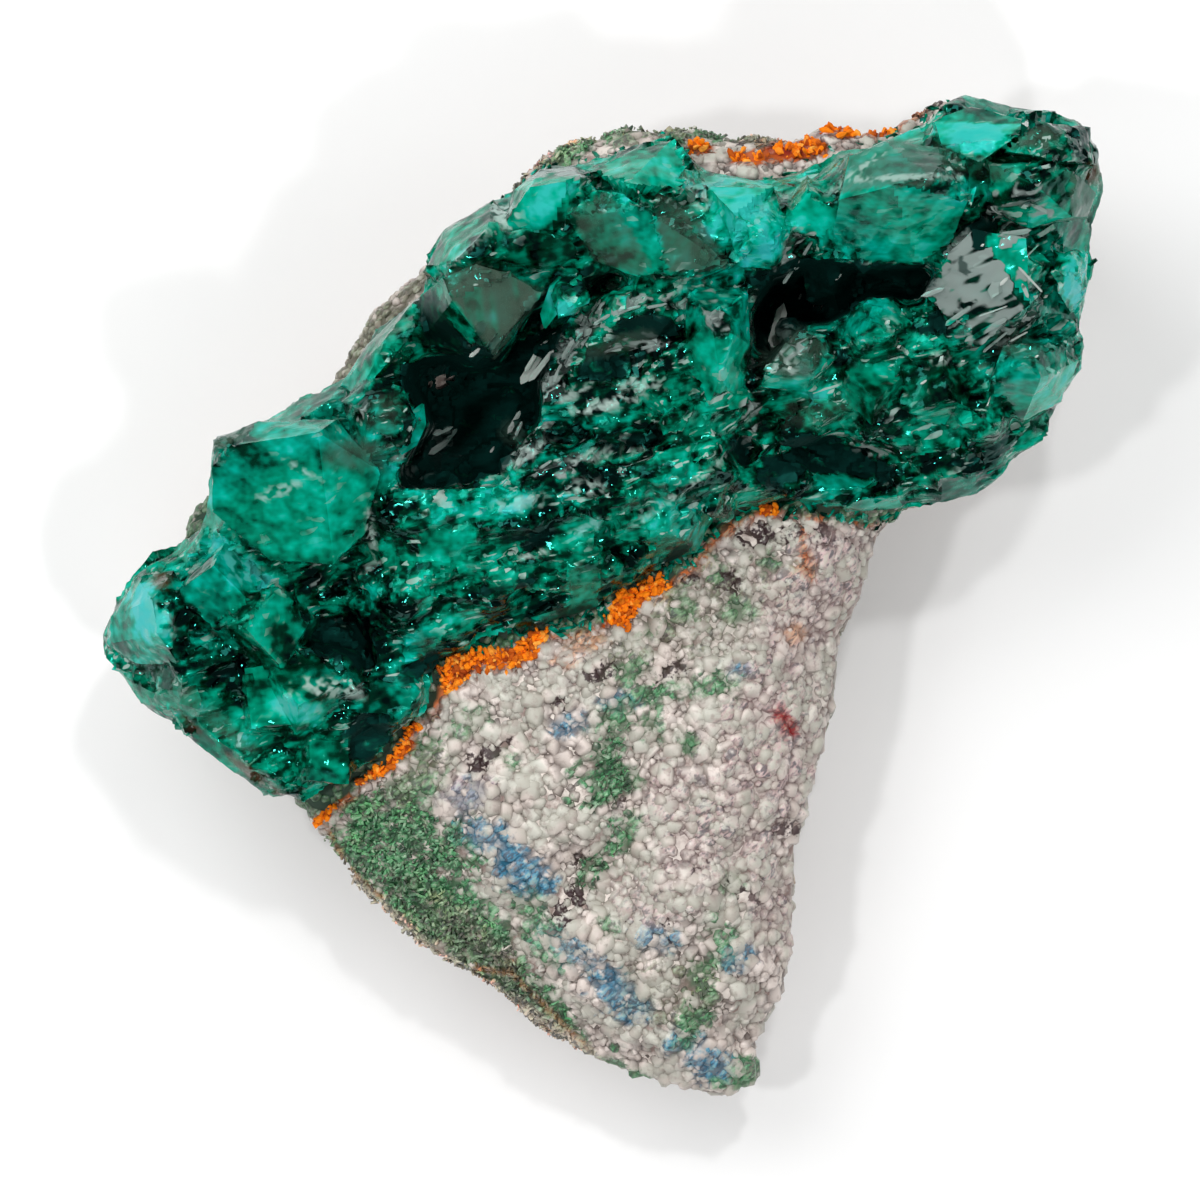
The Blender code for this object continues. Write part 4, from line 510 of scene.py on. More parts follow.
class Shards:
    """Broken pieces filling a box, drawn out along one direction in plan; each has its own tilt, level and tone."""

    def __init__(self, points, spacing, stretch, turn, seed):
        self.turn = math.radians(turn)
        self.stretch = stretch
        self.spacing = spacing
        rng = np.random.default_rng(seed)
        warped = self.warp(points)
        low, high = warped.min(0) - spacing, warped.max(0) + spacing
        counts = np.ceil((high - low) / spacing).astype(int)
        grid = np.stack(np.meshgrid(*[np.arange(n) for n in counts], indexing="ij"), axis=-1).reshape(-1, 3)
        self.middles = low + (grid + rng.uniform(0.0, 1.0, grid.shape)) * spacing
        self.tilts = rng.normal(0.0, 1.0, grid.shape)
        self.levels = rng.uniform(-1.0, 1.0, len(grid))
        self.tones = rng.uniform(-1.0, 1.0, len(grid))
        self.tree = KDTree(len(grid))
        for i, middle in enumerate(self.middles):
            self.tree.insert(middle, i)
        self.tree.balance()

    def warp(self, points):
        c, t = math.cos(self.turn), math.sin(self.turn)
        run = (points[:, 0] * c + points[:, 1] * t) / self.stretch
        return np.stack([run, points[:, 1] * c - points[:, 0] * t, points[:, 2]], axis=1)

    def home(self, points):
        return np.array([self.tree.find(p)[1] for p in self.warp(points)])

    def lift(self, points, tilt, step):
        """Height of the broken surface at each point, from the shards' tilts and levels."""
        home = self.home(points)
        slope = ((self.warp(points) - self.middles[home]) * self.tilts[home]).sum(1)
        return tilt * slope + step * self.spacing * self.levels[home]


def soften(mesh, chosen, rounds):
    """Round off the chosen vertices."""
    bm = bmesh.new()
    bm.from_mesh(mesh)
    bm.verts.ensure_lookup_table()
    verts = [bm.verts[i] for i in np.flatnonzero(chosen)]
    for _ in range(rounds):
        bmesh.ops.smooth_vert(bm, verts=verts, factor=0.5, use_axis_x=True, use_axis_y=True, use_axis_z=True)
    bm.to_mesh(mesh)
    bm.free()


def open_share(points, lit):
    """1 on the open face of the rock and fading to 0 a little way down its sides; lit are the open face's points."""
    near = KDTree(len(lit))
    for i, place in enumerate(lit):
        near.insert(place, i)
    near.balance()
    away = np.array([near.find(p)[2] for p in points], dtype=np.float32)
    return 1.0 - smooth((away / MM - 0.9) / 1.6)


def heights_over(tree, points):
    """Height of each point over the nearest place of a surface."""
    heights = np.empty(len(points), dtype=np.float32)
    for i, point in enumerate(points):
        place, normal, _, _ = tree.find_nearest(Vector(point))
        heights[i] = (Vector(point) - place).dot(normal)
    return heights


def smooth(t):
    t = np.clip(t, 0.0, 1.0)
    return t * t * (3.0 - 2.0 * t)


def wobble(points, size, seed):
    """Smooth noise at each point, from about -1 to 1."""
    shift = Vector((seed * 3.71, seed * -1.93, seed * 5.37))
    scale = 1.0 / size
    return np.array([noise.noise(Vector(p) * scale + shift) for p in points], dtype=np.float32)


def mark_strength(points, marks, ragged=0.35, seed=3):
    """How strongly a list of oval marks shows at each point, with ragged edges."""
    x, y = points[:, 0] / MM, points[:, 1] / MM
    edge = ragged * (wobble(points, 0.9 * MM, seed) + 0.6 * wobble(points, 0.35 * MM, seed + 1))
    total = np.zeros(len(points), dtype=np.float32)
    for px, py, length, width, turn, strength in marks:
        c, s = math.cos(math.radians(turn)), math.sin(math.radians(turn))
        dx, dy = x - px, y - py
        away = np.hypot((dx * c + dy * s) / length, (-dx * s + dy * c) / width)
        total = np.maximum(total, strength * (1.0 - smooth((away + edge - 0.7) / 0.7)))
    return total


def line_distance(points, line):
    """Distance in millimetres, seen from above, from each point to a line of straight stretches."""
    x, y = points[:, 0] / MM, points[:, 1] / MM
    best = np.full(len(points), 1e9, dtype=np.float32)
    for (ax, ay), (bx, by) in zip(line, line[1:]):
        dx, dy = bx - ax, by - ay
        along = np.clip(((x - ax) * dx + (y - ay) * dy) / (dx * dx + dy * dy), 0.0, 1.0)
        best = np.minimum(best, np.hypot(x - ax - along * dx, y - ay - along * dy))
    return best


def inside_outline(points, outline):
    x, y = points[:, 0] / MM, points[:, 1] / MM
    odd = np.zeros(len(points), dtype=bool)
    for i, (ax, ay) in enumerate(outline):
        bx, by = outline[i - 1]
        if ay == by:
            continue
        cross = ((ay > y) != (by > y)) & (x < (bx - ax) * (y - ay) / (by - ay) + ax)
        odd ^= cross
    return odd


def facet_strength(points, facets):
    """How strongly a list of outlined facets shows at each point, with slightly uneven edges."""
    shaken = points.copy()
    shaken[:, 0] += 0.12 * MM * wobble(points, 0.6 * MM, 87)
    shaken[:, 1] += 0.12 * MM * wobble(points, 0.6 * MM, 88)
    total = np.zeros(len(points), dtype=np.float32)
    for outline, strength in facets:
        total = np.maximum(total, strength * inside_outline(shaken, outline))
    return total


def patch_strength(points, patches, shake=0.14):
    """1 inside any of the outlined patches, with uneven edges."""
    shaken = points.copy()
    shaken[:, 0] += shake * MM * (wobble(points, 0.7 * MM, 87) + wobble(points, 0.25 * MM, 89))
    shaken[:, 1] += shake * MM * (wobble(points, 0.7 * MM, 88) + wobble(points, 0.25 * MM, 90))
    total = np.zeros(len(points), dtype=bool)
    for outline in patches:
        total |= inside_outline(shaken, outline)
    return total.astype(np.float32)


def line_strength(points, lines, spread=1.0):
    total = np.zeros(len(points), dtype=np.float32)
    ragged = 0.5 * wobble(points, 0.6 * MM, 41)
    for line, half in lines:
        away = line_distance(points, line) / (half * spread)
        total = np.maximum(total, 1.0 - smooth((away + ragged - 0.7) / 0.6))
    return total


def finish_piece(ob, node=None, smooth_shading=True):
    """Attach a piece to the root body, hide the CAD part it stands in for, if any, and shade it."""
    ob.data.shade_smooth() if smooth_shading else ob.data.shade_flat()
    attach(ob, "root")
    if node:
        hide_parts(node)


# Scattering small shapes


def socket(node, name, kind="inputs"):
    """The enabled socket of that name."""
    for found in getattr(node, kind):
        if found.name == name and found.enabled:
            return found
    raise KeyError(name)


def scatter(surface, seeds, name, spacing, density, sizes, turn, sink, seed, mask="grow", run=None):
    """Small shapes spread evenly over a surface where its mask allows, made real in one mesh.

    Each copy keeps its own random tone, and the place it stands at, as attributes. Where run names a direction on
    the surface, each copy's X axis follows it before its own random turn.
    """
    group = bpy.data.node_groups.new(name, "GeometryNodeTree")
    group.interface.new_socket("Geometry", in_out="INPUT", socket_type="NodeSocketGeometry")
    group.interface.new_socket("Geometry", in_out="OUTPUT", socket_type="NodeSocketGeometry")
    nodes, links = group.nodes, group.links
    start = nodes.new("NodeGroupInput")
    end = nodes.new("NodeGroupOutput")
    spread = nodes.new("GeometryNodeDistributePointsOnFaces")
    spread.distribute_method = "POISSON"
    socket(spread, "Distance Min").default_value = spacing
    socket(spread, "Density Max").default_value = density
    spread.inputs["Seed"].default_value = seed
    allow = nodes.new("GeometryNodeInputNamedAttribute")
    allow.data_type = "FLOAT"
    allow.inputs["Name"].default_value = mask
    links.new(start.outputs[0], spread.inputs["Mesh"])
    links.new(socket(allow, "Attribute", "outputs"), socket(spread, "Density Factor"))

    tone = nodes.new("FunctionNodeRandomValue")
    tone.data_type = "FLOAT"
    tone.inputs["Seed"].default_value = seed + 1
    keep_tone = nodes.new("GeometryNodeStoreNamedAttribute")
    keep_tone.data_type = "FLOAT"
    keep_tone.domain = "POINT"
    keep_tone.inputs["Name"].default_value = "tone"
    place = nodes.new("GeometryNodeInputPosition")
    keep_place = nodes.new("GeometryNodeStoreNamedAttribute")
    keep_place.data_type = "FLOAT_VECTOR"
    keep_place.domain = "POINT"
    keep_place.inputs["Name"].default_value = "stands_at"
    links.new(spread.outputs["Points"], keep_tone.inputs["Geometry"])
    links.new(socket(tone, "Value", "outputs"), socket(keep_tone, "Value"))
    links.new(keep_tone.outputs["Geometry"], keep_place.inputs["Geometry"])
    links.new(place.outputs["Position"], socket(keep_place, "Value"))

    lower = nodes.new("ShaderNodeVectorMath")
    lower.operation = "SCALE"
    amount = nodes.new("FunctionNodeRandomValue")
    amount.data_type = "FLOAT"
    amount.inputs["Seed"].default_value = seed + 2
    socket(amount, "Min").default_value = -sink[1]
    socket(amount, "Max").default_value = -sink[0]
    move = nodes.new("GeometryNodeSetPosition")
    links.new(spread.outputs["Normal"], lower.inputs[0])
    links.new(socket(amount, "Value", "outputs"), lower.inputs["Scale"])
    links.new(keep_place.outputs["Geometry"], move.inputs["Geometry"])
    links.new(lower.outputs["Vector"], move.inputs["Offset"])

    shapes = nodes.new("GeometryNodeCollectionInfo")
    shapes.inputs["Collection"].default_value = seeds
    shapes.inputs["Separate Children"].default_value = True
    shapes.inputs["Reset Children"].default_value = True
    put = nodes.new("GeometryNodeInstanceOnPoints")
    put.inputs["Pick Instance"].default_value = True
    angle = nodes.new("FunctionNodeRandomValue")
    angle.data_type = "FLOAT_VECTOR"
    angle.inputs["Seed"].default_value = seed + 3
    spin = 0.35 if run else math.pi
    socket(angle, "Min").default_value = (-turn, -turn, -spin)
    socket(angle, "Max").default_value = (turn, turn, spin)
    as_turn = nodes.new("FunctionNodeEulerToRotation")
    swing = nodes.new("FunctionNodeRotateRotation")
    swing.rotation_space = "LOCAL"
    links.new(socket(angle, "Value", "outputs"), as_turn.inputs["Euler"])
    rotation = spread.outputs["Rotation"]
    if run:
        way = nodes.new("GeometryNodeInputNamedAttribute")
        way.data_type = "FLOAT_VECTOR"
        way.inputs["Name"].default_value = run
        follow = nodes.new("FunctionNodeAlignRotationToVector")
        follow.axis = "X"
        follow.pivot_axis = "Z"
        links.new(rotation, follow.inputs["Rotation"])
        links.new(socket(way, "Attribute", "outputs"), follow.inputs["Vector"])
        rotation = follow.outputs["Rotation"]
    links.new(rotation, swing.inputs["Rotation"])
    links.new(as_turn.outputs["Rotation"], swing.inputs["Rotate By"])
    size = nodes.new("FunctionNodeRandomValue")
    size.data_type = "FLOAT"
    size.inputs["Seed"].default_value = seed + 4
    socket(size, "Min").default_value = sizes[0]
    socket(size, "Max").default_value = sizes[1]
    real = nodes.new("GeometryNodeRealizeInstances")
    links.new(move.outputs["Geometry"], put.inputs["Points"])
    links.new(shapes.outputs["Instances"], put.inputs["Instance"])
    links.new(swing.outputs["Rotation"], put.inputs["Rotation"])
    links.new(socket(size, "Value", "outputs"), put.inputs["Scale"])
    links.new(put.outputs["Instances"], real.inputs["Geometry"])
    links.new(real.outputs["Geometry"], end.inputs[0])

    ob = bpy.data.objects.new(name, surface.data.copy())
    bpy.context.scene.collection.objects.link(ob)
    ob.modifiers.new("Scatter", "NODES").node_group = group
    bake(ob)
    bpy.data.node_groups.remove(group)
    return ob


def seed_shapes(name, makers):
    """A collection of the small shapes that scatter picks from."""
    group = bpy.data.collections.new(name)
    for i, make in enumerate(makers):
        bm = bmesh.new()
        make(bm)
        bmesh.ops.recalc_face_normals(bm, faces=bm.faces)
        mesh = bpy.data.meshes.new("%s_%02d" % (name, i))
        bm.to_mesh(mesh)
        bm.free()
        group.objects.link(bpy.data.objects.new(mesh.name, mesh))
    return group


def drop_shapes(group):
    for ob in list(group.objects):
        mesh = ob.data
        bpy.data.objects.remove(ob)
        bpy.data.meshes.remove(mesh)
    bpy.data.collections.remove(group)


def rhomb_grain(rng, size):
    """A sugary carbonate grain: a skewed cube with worn edges."""

    def make(bm):
        bmesh.ops.create_cube(bm, size=size)
        skew = Matrix.Identity(4)
        skew[0][1] = rng.uniform(-0.25, 0.25)
        skew[0][2] = rng.uniform(-0.25, 0.25)
        stretch = Matrix.Diagonal((rng.uniform(0.8, 1.2), rng.uniform(0.7, 1.1), rng.uniform(0.5, 0.7), 1.0))
        bmesh.ops.transform(bm, matrix=skew @ stretch, verts=bm.verts)
        for vert in bm.verts:
            vert.co += Vector([rng.uniform(-0.08, 0.08) * size for _ in range(3)])
        bmesh.ops.bevel(
            bm, geom=bm.edges[:], offset=size * rng.uniform(0.17, 0.25), segments=1, profile=0.5,
            affect="EDGES", material=-1, offset_type="OFFSET",
        )

    return make


def crumb(rng, radius):
    """An earthy crumb: a small uneven ball, drawn out a little."""

    def make(bm):
        bmesh.ops.create_icosphere(bm, subdivisions=1, radius=radius)
        for vert in bm.verts:
            vert.co *= rng.uniform(0.75, 1.2)
        stretch = Matrix.Diagonal((rng.uniform(1.0, 1.8), rng.uniform(0.7, 1.0), rng.uniform(0.6, 1.0), 1.0))
        bmesh.ops.transform(bm, matrix=stretch, verts=bm.verts)

    return make


def splinter(rng, length, thick=1.0):
    """A broken sliver of crystal lying along X."""

    def make(bm):
        bmesh.ops.create_cube(bm, size=length)
        shape = Matrix.Diagonal((rng.uniform(0.8, 1.3), rng.uniform(0.16, 0.3), rng.uniform(0.14, 0.26), 1.0))
        shape = Matrix.Diagonal((1.0, thick, thick, 1.0)) @ shape
        bmesh.ops.transform(bm, matrix=shape, verts=bm.verts)
        for vert in bm.verts:
            vert.co.x += rng.uniform(-0.2, 0.2) * length
            vert.co.y *= rng.uniform(0.3, 1.2)
            vert.co.z *= rng.uniform(0.5, 1.3)

    return make


def rhomb_crystal(rng, radius):
    """A short six-sided dioptase crystal with its three slanting end faces."""

    def make(bm):
        length = radius * rng.uniform(2.0, 3.4)
        bmesh.ops.create_cone(
            bm, cap_ends=True, cap_tris=False, segments=6, radius1=radius, radius2=radius, depth=length
        )
        for i in range(3):
            around = math.radians(120 * i)
            slant = math.radians(51.0)
            normal = Vector((math.sin(slant) * math.cos(around), math.sin(slant) * math.sin(around), math.cos(slant)))
            cut = bmesh.ops.bisect_plane(
                bm, geom=bm.verts[:] + bm.edges[:] + bm.faces[:], dist=1e-7,
                plane_co=(0, 0, length * 0.42), plane_no=normal, clear_outer=True,
            )
            rim = [e for e in cut["geom_cut"] if isinstance(e, bmesh.types.BMEdge)]
            bmesh.ops.holes_fill(bm, edges=rim, sides=0)
        squash = Matrix.Diagonal((1.0, rng.uniform(0.75, 1.05), 1.0, 1.0))
        bmesh.ops.transform(bm, matrix=squash, verts=bm.verts)

    return make


# Materials


def new_material(name):
    mat = bpy.data.materials.new(name)
    mat.use_nodes = True
    nodes = mat.node_tree.nodes
    return mat, nodes, mat.node_tree.links, nodes["Principled BSDF"], nodes["Material Output"]


def attribute_value(nodes, name):
    node = nodes.new("ShaderNodeAttribute")
    node.attribute_name = name
    return node


def mix_colour(nodes, links, factor, first, second, blend="MIX"):
    node = nodes.new("ShaderNodeMix")
    node.data_type = "RGBA"
    node.blend_type = blend
    node.clamp_factor = True
    for value, target in ((factor, node.inputs[0]), (first, node.inputs[6]), (second, node.inputs[7])):
        if isinstance(value, bpy.types.NodeSocket):
            links.new(value, target)
        elif isinstance(value, (int, float)):
            target.default_value = value
        else:
            target.default_value = (*value, 1.0)
    return node.outputs[2]


def ramp(nodes, links, value, low, high, to_low=0.0, to_high=1.0):
    node = nodes.new("ShaderNodeMapRange")
    node.interpolation_type = "SMOOTHSTEP"
    node.inputs["From Min"].default_value = low
    node.inputs["From Max"].default_value = high
    node.inputs["To Min"].default_value = to_low
    node.inputs["To Max"].default_value = to_high
    links.new(value, node.inputs["Value"])
    return node.outputs["Result"]


def calc(nodes, links, operation, first, second):
    node = nodes.new("ShaderNodeMath")
    node.operation = operation
    for value, target in ((first, node.inputs[0]), (second, node.inputs[1])):
        if isinstance(value, bpy.types.NodeSocket):
            links.new(value, target)
        else:
            target.default_value = value
    return node.outputs[0]


def noise_texture(nodes, links, scale, detail=4.0, rough=0.55, stretch=None, turn=0.0):
    place = nodes.new("ShaderNodeTexCoord")
    source = place.outputs["Object"]
    if stretch:
        mapping = nodes.new("ShaderNodeMapping")
        mapping.vector_type = "TEXTURE"
        mapping.inputs["Scale"].default_value = (stretch, 1.0, 1.0)
        mapping.inputs["Rotation"].default_value = (0.0, 0.0, math.radians(turn))
        links.new(source, mapping.inputs["Vector"])
        source = mapping.outputs["Vector"]
    node = nodes.new("ShaderNodeTexNoise")
    node.inputs["Scale"].default_value = scale
    node.inputs["Detail"].default_value = detail
    node.inputs["Roughness"].default_value = rough
    links.new(source, node.inputs["Vector"])
    return node.outputs["Fac"]


def striae_texture(nodes, links, scale, stretch):
    """Noise drawn out along each facet's own direction of growth."""
    source = attribute_value(nodes, "striae").outputs["Vector"]
    mapping = nodes.new("ShaderNodeMapping")
    mapping.inputs["Scale"].default_value = stretch
    links.new(source, mapping.inputs["Vector"])
    node = nodes.new("ShaderNodeTexNoise")
    node.inputs["Scale"].default_value = scale
    node.inputs["Detail"].default_value = 1.0
    node.inputs["Roughness"].default_value = 0.6
    links.new(mapping.outputs["Vector"], node.inputs["Vector"])
    return node.outputs["Fac"]


def chips(nodes, links, scale, stretch, turn):
    """Small angular cells drawn out along one direction: two random values and a random tilt for each."""
    place = nodes.new("ShaderNodeTexCoord")
    mapping = nodes.new("ShaderNodeMapping")
    mapping.vector_type = "TEXTURE"
    mapping.inputs["Scale"].default_value = (stretch, 1.0, 1.0)
    mapping.inputs["Rotation"].default_value = (0.0, 0.0, math.radians(turn))
    cells = nodes.new("ShaderNodeTexVoronoi")
    cells.inputs["Scale"].default_value = scale
    links.new(place.outputs["Object"], mapping.inputs["Vector"])
    links.new(mapping.outputs["Vector"], cells.inputs["Vector"])
    tilt = nodes.new("ShaderNodeVectorMath")
    tilt.operation = "SUBTRACT"
    tilt.inputs[1].default_value = (0.5, 0.5, 0.5)
    links.new(cells.outputs["Color"], tilt.inputs[0])
    parts = nodes.new("ShaderNodeSeparateColor")
    links.new(cells.outputs["Color"], parts.inputs["Color"])
    return parts.outputs["Red"], parts.outputs["Green"], tilt.outputs["Vector"]


def crystal_material():
    """Dioptase: see-through green that darkens with depth, mottled by fractures, with glassy faces."""
    look = bpy.context.scene.dioptase_crystal
    mat, nodes, links, shader, output = new_material("dioptase_glass")
    cloud = noise_texture(nodes, links, 420.0, 3.0, 0.68)
    fine = noise_texture(nodes, links, 1700.0, 1.0, 0.62)
    streak = striae_texture(nodes, links, 1000.0, (0.14, 1.0, 1.0))
    glow = attribute_value(nodes, "glow").outputs["Fac"]
    shade = attribute_value(nodes, "shade").outputs["Fac"]
    grey = attribute_value(nodes, "grey").outputs["Fac"]
    silver = attribute_value(nodes, "silver").outputs["Fac"]
    pale = attribute_value(nodes, "pale").outputs["Fac"]
    rust = attribute_value(nodes, "rust").outputs["Fac"]
    loose = attribute_value(nodes, "loose").outputs["Fac"]
    fleck = noise_texture(nodes, links, 3000.0, 1.0, 0.6, 5.0, 18.0)
    drawn = noise_texture(nodes, links, 1400.0, 0.0, 0.6, 6.0, 26.0)
    chip, grain, chip_tilt = chips(nodes, links, 3400.0, 2.6, 20.0)
    level = attribute_value(nodes, "facet_tone").outputs["Fac"]
    for source, on_faces, on_breaks in (
        (cloud, 1.5, 1.8), (fine, 0.7, 0.8), (streak, 0.45, 0.3), (fleck, 0.1, 0.8), (drawn, 0.0, 0.75),
        (chip, 0.04, 0.16),
    ):
        share = ramp(nodes, links, loose, 0.0, 1.0, on_faces, on_breaks)
        offset = calc(nodes, links, "MULTIPLY", calc(nodes, links, "SUBTRACT", source, 0.5), share)
        level = calc(nodes, links, "ADD", level, offset)
    # painted light lifts the body colour; painted sheen and painted shade lower it
    level = calc(nodes, links, "ADD", level, calc(nodes, links, "MULTIPLY", glow, 0.5))
    level = calc(nodes, links, "SUBTRACT", level, calc(nodes, links, "MULTIPLY", silver, 0.3))
    level = calc(nodes, links, "SUBTRACT", level, calc(nodes, links, "MULTIPLY", shade, 0.6))
    # the ramp's lowest stop is the near-black of painted shade
    body = nodes.new("ShaderNodeValToRGB")
    tints = (
        (0.0, (0.0008, 0.0002, 0.0008)), (0.22, tuple(look.deep)), (0.52, tuple(look.middle)),
        (0.80, tuple(look.bright)), (1.0, (0.05, 0.91, 0.80)),
    )
    while len(body.color_ramp.elements) < len(tints):
        body.color_ramp.elements.new(0.5)
    for element, (place, tint) in zip(body.color_ramp.elements, tints):
        element.position = place
        element.color = (*tint, 1.0)
    links.new(level, body.inputs["Fac"])
    drift = noise_texture(nodes, links, 170.0, 0.0, 0.5)
    colour = mix_colour(
        nodes, links, ramp(nodes, links, drift, 0.46, 0.66), body.outputs["Color"], (1.0, 1.0, 1.14), "MULTIPLY"
    )
    # painted reflection: grey-green laid over the facets that would mirror the lamps
    painted_reflection_share = calc(nodes, links, "MULTIPLY", grey, ramp(nodes, links, streak, 0.38, 0.58, 0.55, 0.95))
    colour = mix_colour(nodes, links, painted_reflection_share, colour, (0.10, 0.155, 0.115))
    # painted sheen: silvery streaks and frills laid over the colour, weaker in painted shade
    brushed = noise_texture(nodes, links, 2600.0, 0.0, 0.6, 9.0, 32.0)
    painted_sheen_share = calc(nodes, links, "MULTIPLY", calc(nodes, links, "SUBTRACT", brushed, 0.5), 2.2)
    painted_sheen_share = ramp(nodes, links, calc(nodes, links, "ADD", painted_sheen_share, silver), 0.35, 0.8)
    painted_sheen_share = calc(nodes, links, "MULTIPLY", painted_sheen_share, ramp(nodes, links, silver, 0.05, 0.4))
    whole = calc(nodes, links, "SUBTRACT", 1.0, loose)
    frill = calc(nodes, links, "MAXIMUM", ramp(nodes, links, grain, 0.3, 0.5, 0.1, 1.0), whole)
    painted_sheen_share = calc(nodes, links, "MULTIPLY", painted_sheen_share, frill)
    painted_sheen_share = calc(nodes, links, "MULTIPLY", painted_sheen_share, ramp(nodes, links, shade, 0.2, 1.0, 1.0, 0.25))
    painted_sheen_tint = mix_colour(nodes, links, ramp(nodes, links, silver, 1.0, 1.5), (0.44, 0.53, 0.50), (0.95, 0.97, 0.92))
    colour = mix_colour(nodes, links, painted_sheen_share, colour, painted_sheen_tint)
    # painted glints: pale specks, streaks and chips standing for sparkles, none in painted shade, tinted cyan in
    # painted light
    painted_glint_share = calc(nodes, links, "MULTIPLY", pale, ramp(nodes, links, fine, 0.42, 0.56))
    streak_glint = calc(nodes, links, "MULTIPLY", loose, ramp(nodes, links, fleck, 0.67, 0.70, 0.0, 0.95))
    streak_glint = calc(nodes, links, "MULTIPLY", streak_glint, ramp(nodes, links, cloud, 0.42, 0.54))
    painted_glint_share = calc(nodes, links, "MAXIMUM", painted_glint_share, streak_glint)
    chip_glint = calc(nodes, links, "MULTIPLY", ramp(nodes, links, grain, 0.915, 0.935), ramp(nodes, links, cloud, 0.48, 0.6))
    chip_glint = calc(nodes, links, "MULTIPLY", chip_glint, ramp(nodes, links, loose, 0.0, 1.0, 0.25, 0.9))
    painted_glint_share = calc(nodes, links, "MAXIMUM", painted_glint_share, chip_glint)
    hidden = calc(nodes, links, "SUBTRACT", 1.0, ramp(nodes, links, shade, 0.3, 0.9))
    painted_glint_share = calc(nodes, links, "MULTIPLY", painted_glint_share, hidden)
    painted_glint_tint = mix_colour(nodes, links, glow, (0.74, 0.97, 0.88), (0.12, 0.90, 0.80))
    colour = mix_colour(nodes, links, painted_glint_share, colour, painted_glint_tint)
    colour = mix_colour(nodes, links, calc(nodes, links, "MULTIPLY", rust, 0.8), colour, (0.20, 0.04, 0.015))
    links.new(colour, shader.inputs["Base Color"])
    rough = ramp(nodes, links, cloud, 0.45, 0.7, look.roughness, look.roughness + 0.2)
    rough = calc(nodes, links, "MAXIMUM", rough, ramp(nodes, links, shade, 0.3, 1.0, 0.0, 0.75))
    links.new(rough, shader.inputs["Roughness"])
    shader.inputs["IOR"].default_value = look.index
    shader.inputs["Specular IOR Level"].default_value = 0.12
    shader.inputs["Specular Tint"].default_value = (0.08, 1.0, 0.82, 1.0)
    shader.inputs["Transmission Weight"].default_value = look.clear_share
    bump = nodes.new("ShaderNodeBump")
    bump.inputs["Strength"].default_value = 0.7
    bump.inputs["Distance"].default_value = 0.06 * MM
    links.new(drawn, bump.inputs["Height"])
    lean = nodes.new("ShaderNodeVectorMath")
    lean.operation = "SCALE"
    links.new(chip_tilt, lean.inputs[0])
    links.new(ramp(nodes, links, loose, 0.0, 1.0, 0.08, 0.5), lean.inputs["Scale"])
    tilted = nodes.new("ShaderNodeVectorMath")
    tilted.operation = "ADD"
    links.new(bump.outputs["Normal"], tilted.inputs[0])
    links.new(lean.outputs["Vector"], tilted.inputs[1])
    unit = nodes.new("ShaderNodeVectorMath")
    unit.operation = "NORMALIZE"
    links.new(tilted.outputs["Vector"], unit.inputs[0])
    links.new(unit.outputs["Vector"], shader.inputs["Normal"])
    volume = nodes.new("ShaderNodeVolumeAbsorption")
    volume.inputs["Color"].default_value = (0.0, 0.90, 0.78, 1.0)
    volume.inputs["Density"].default_value = look.absorb
    links.new(volume.outputs["Volume"], output.inputs["Volume"])
    return mat


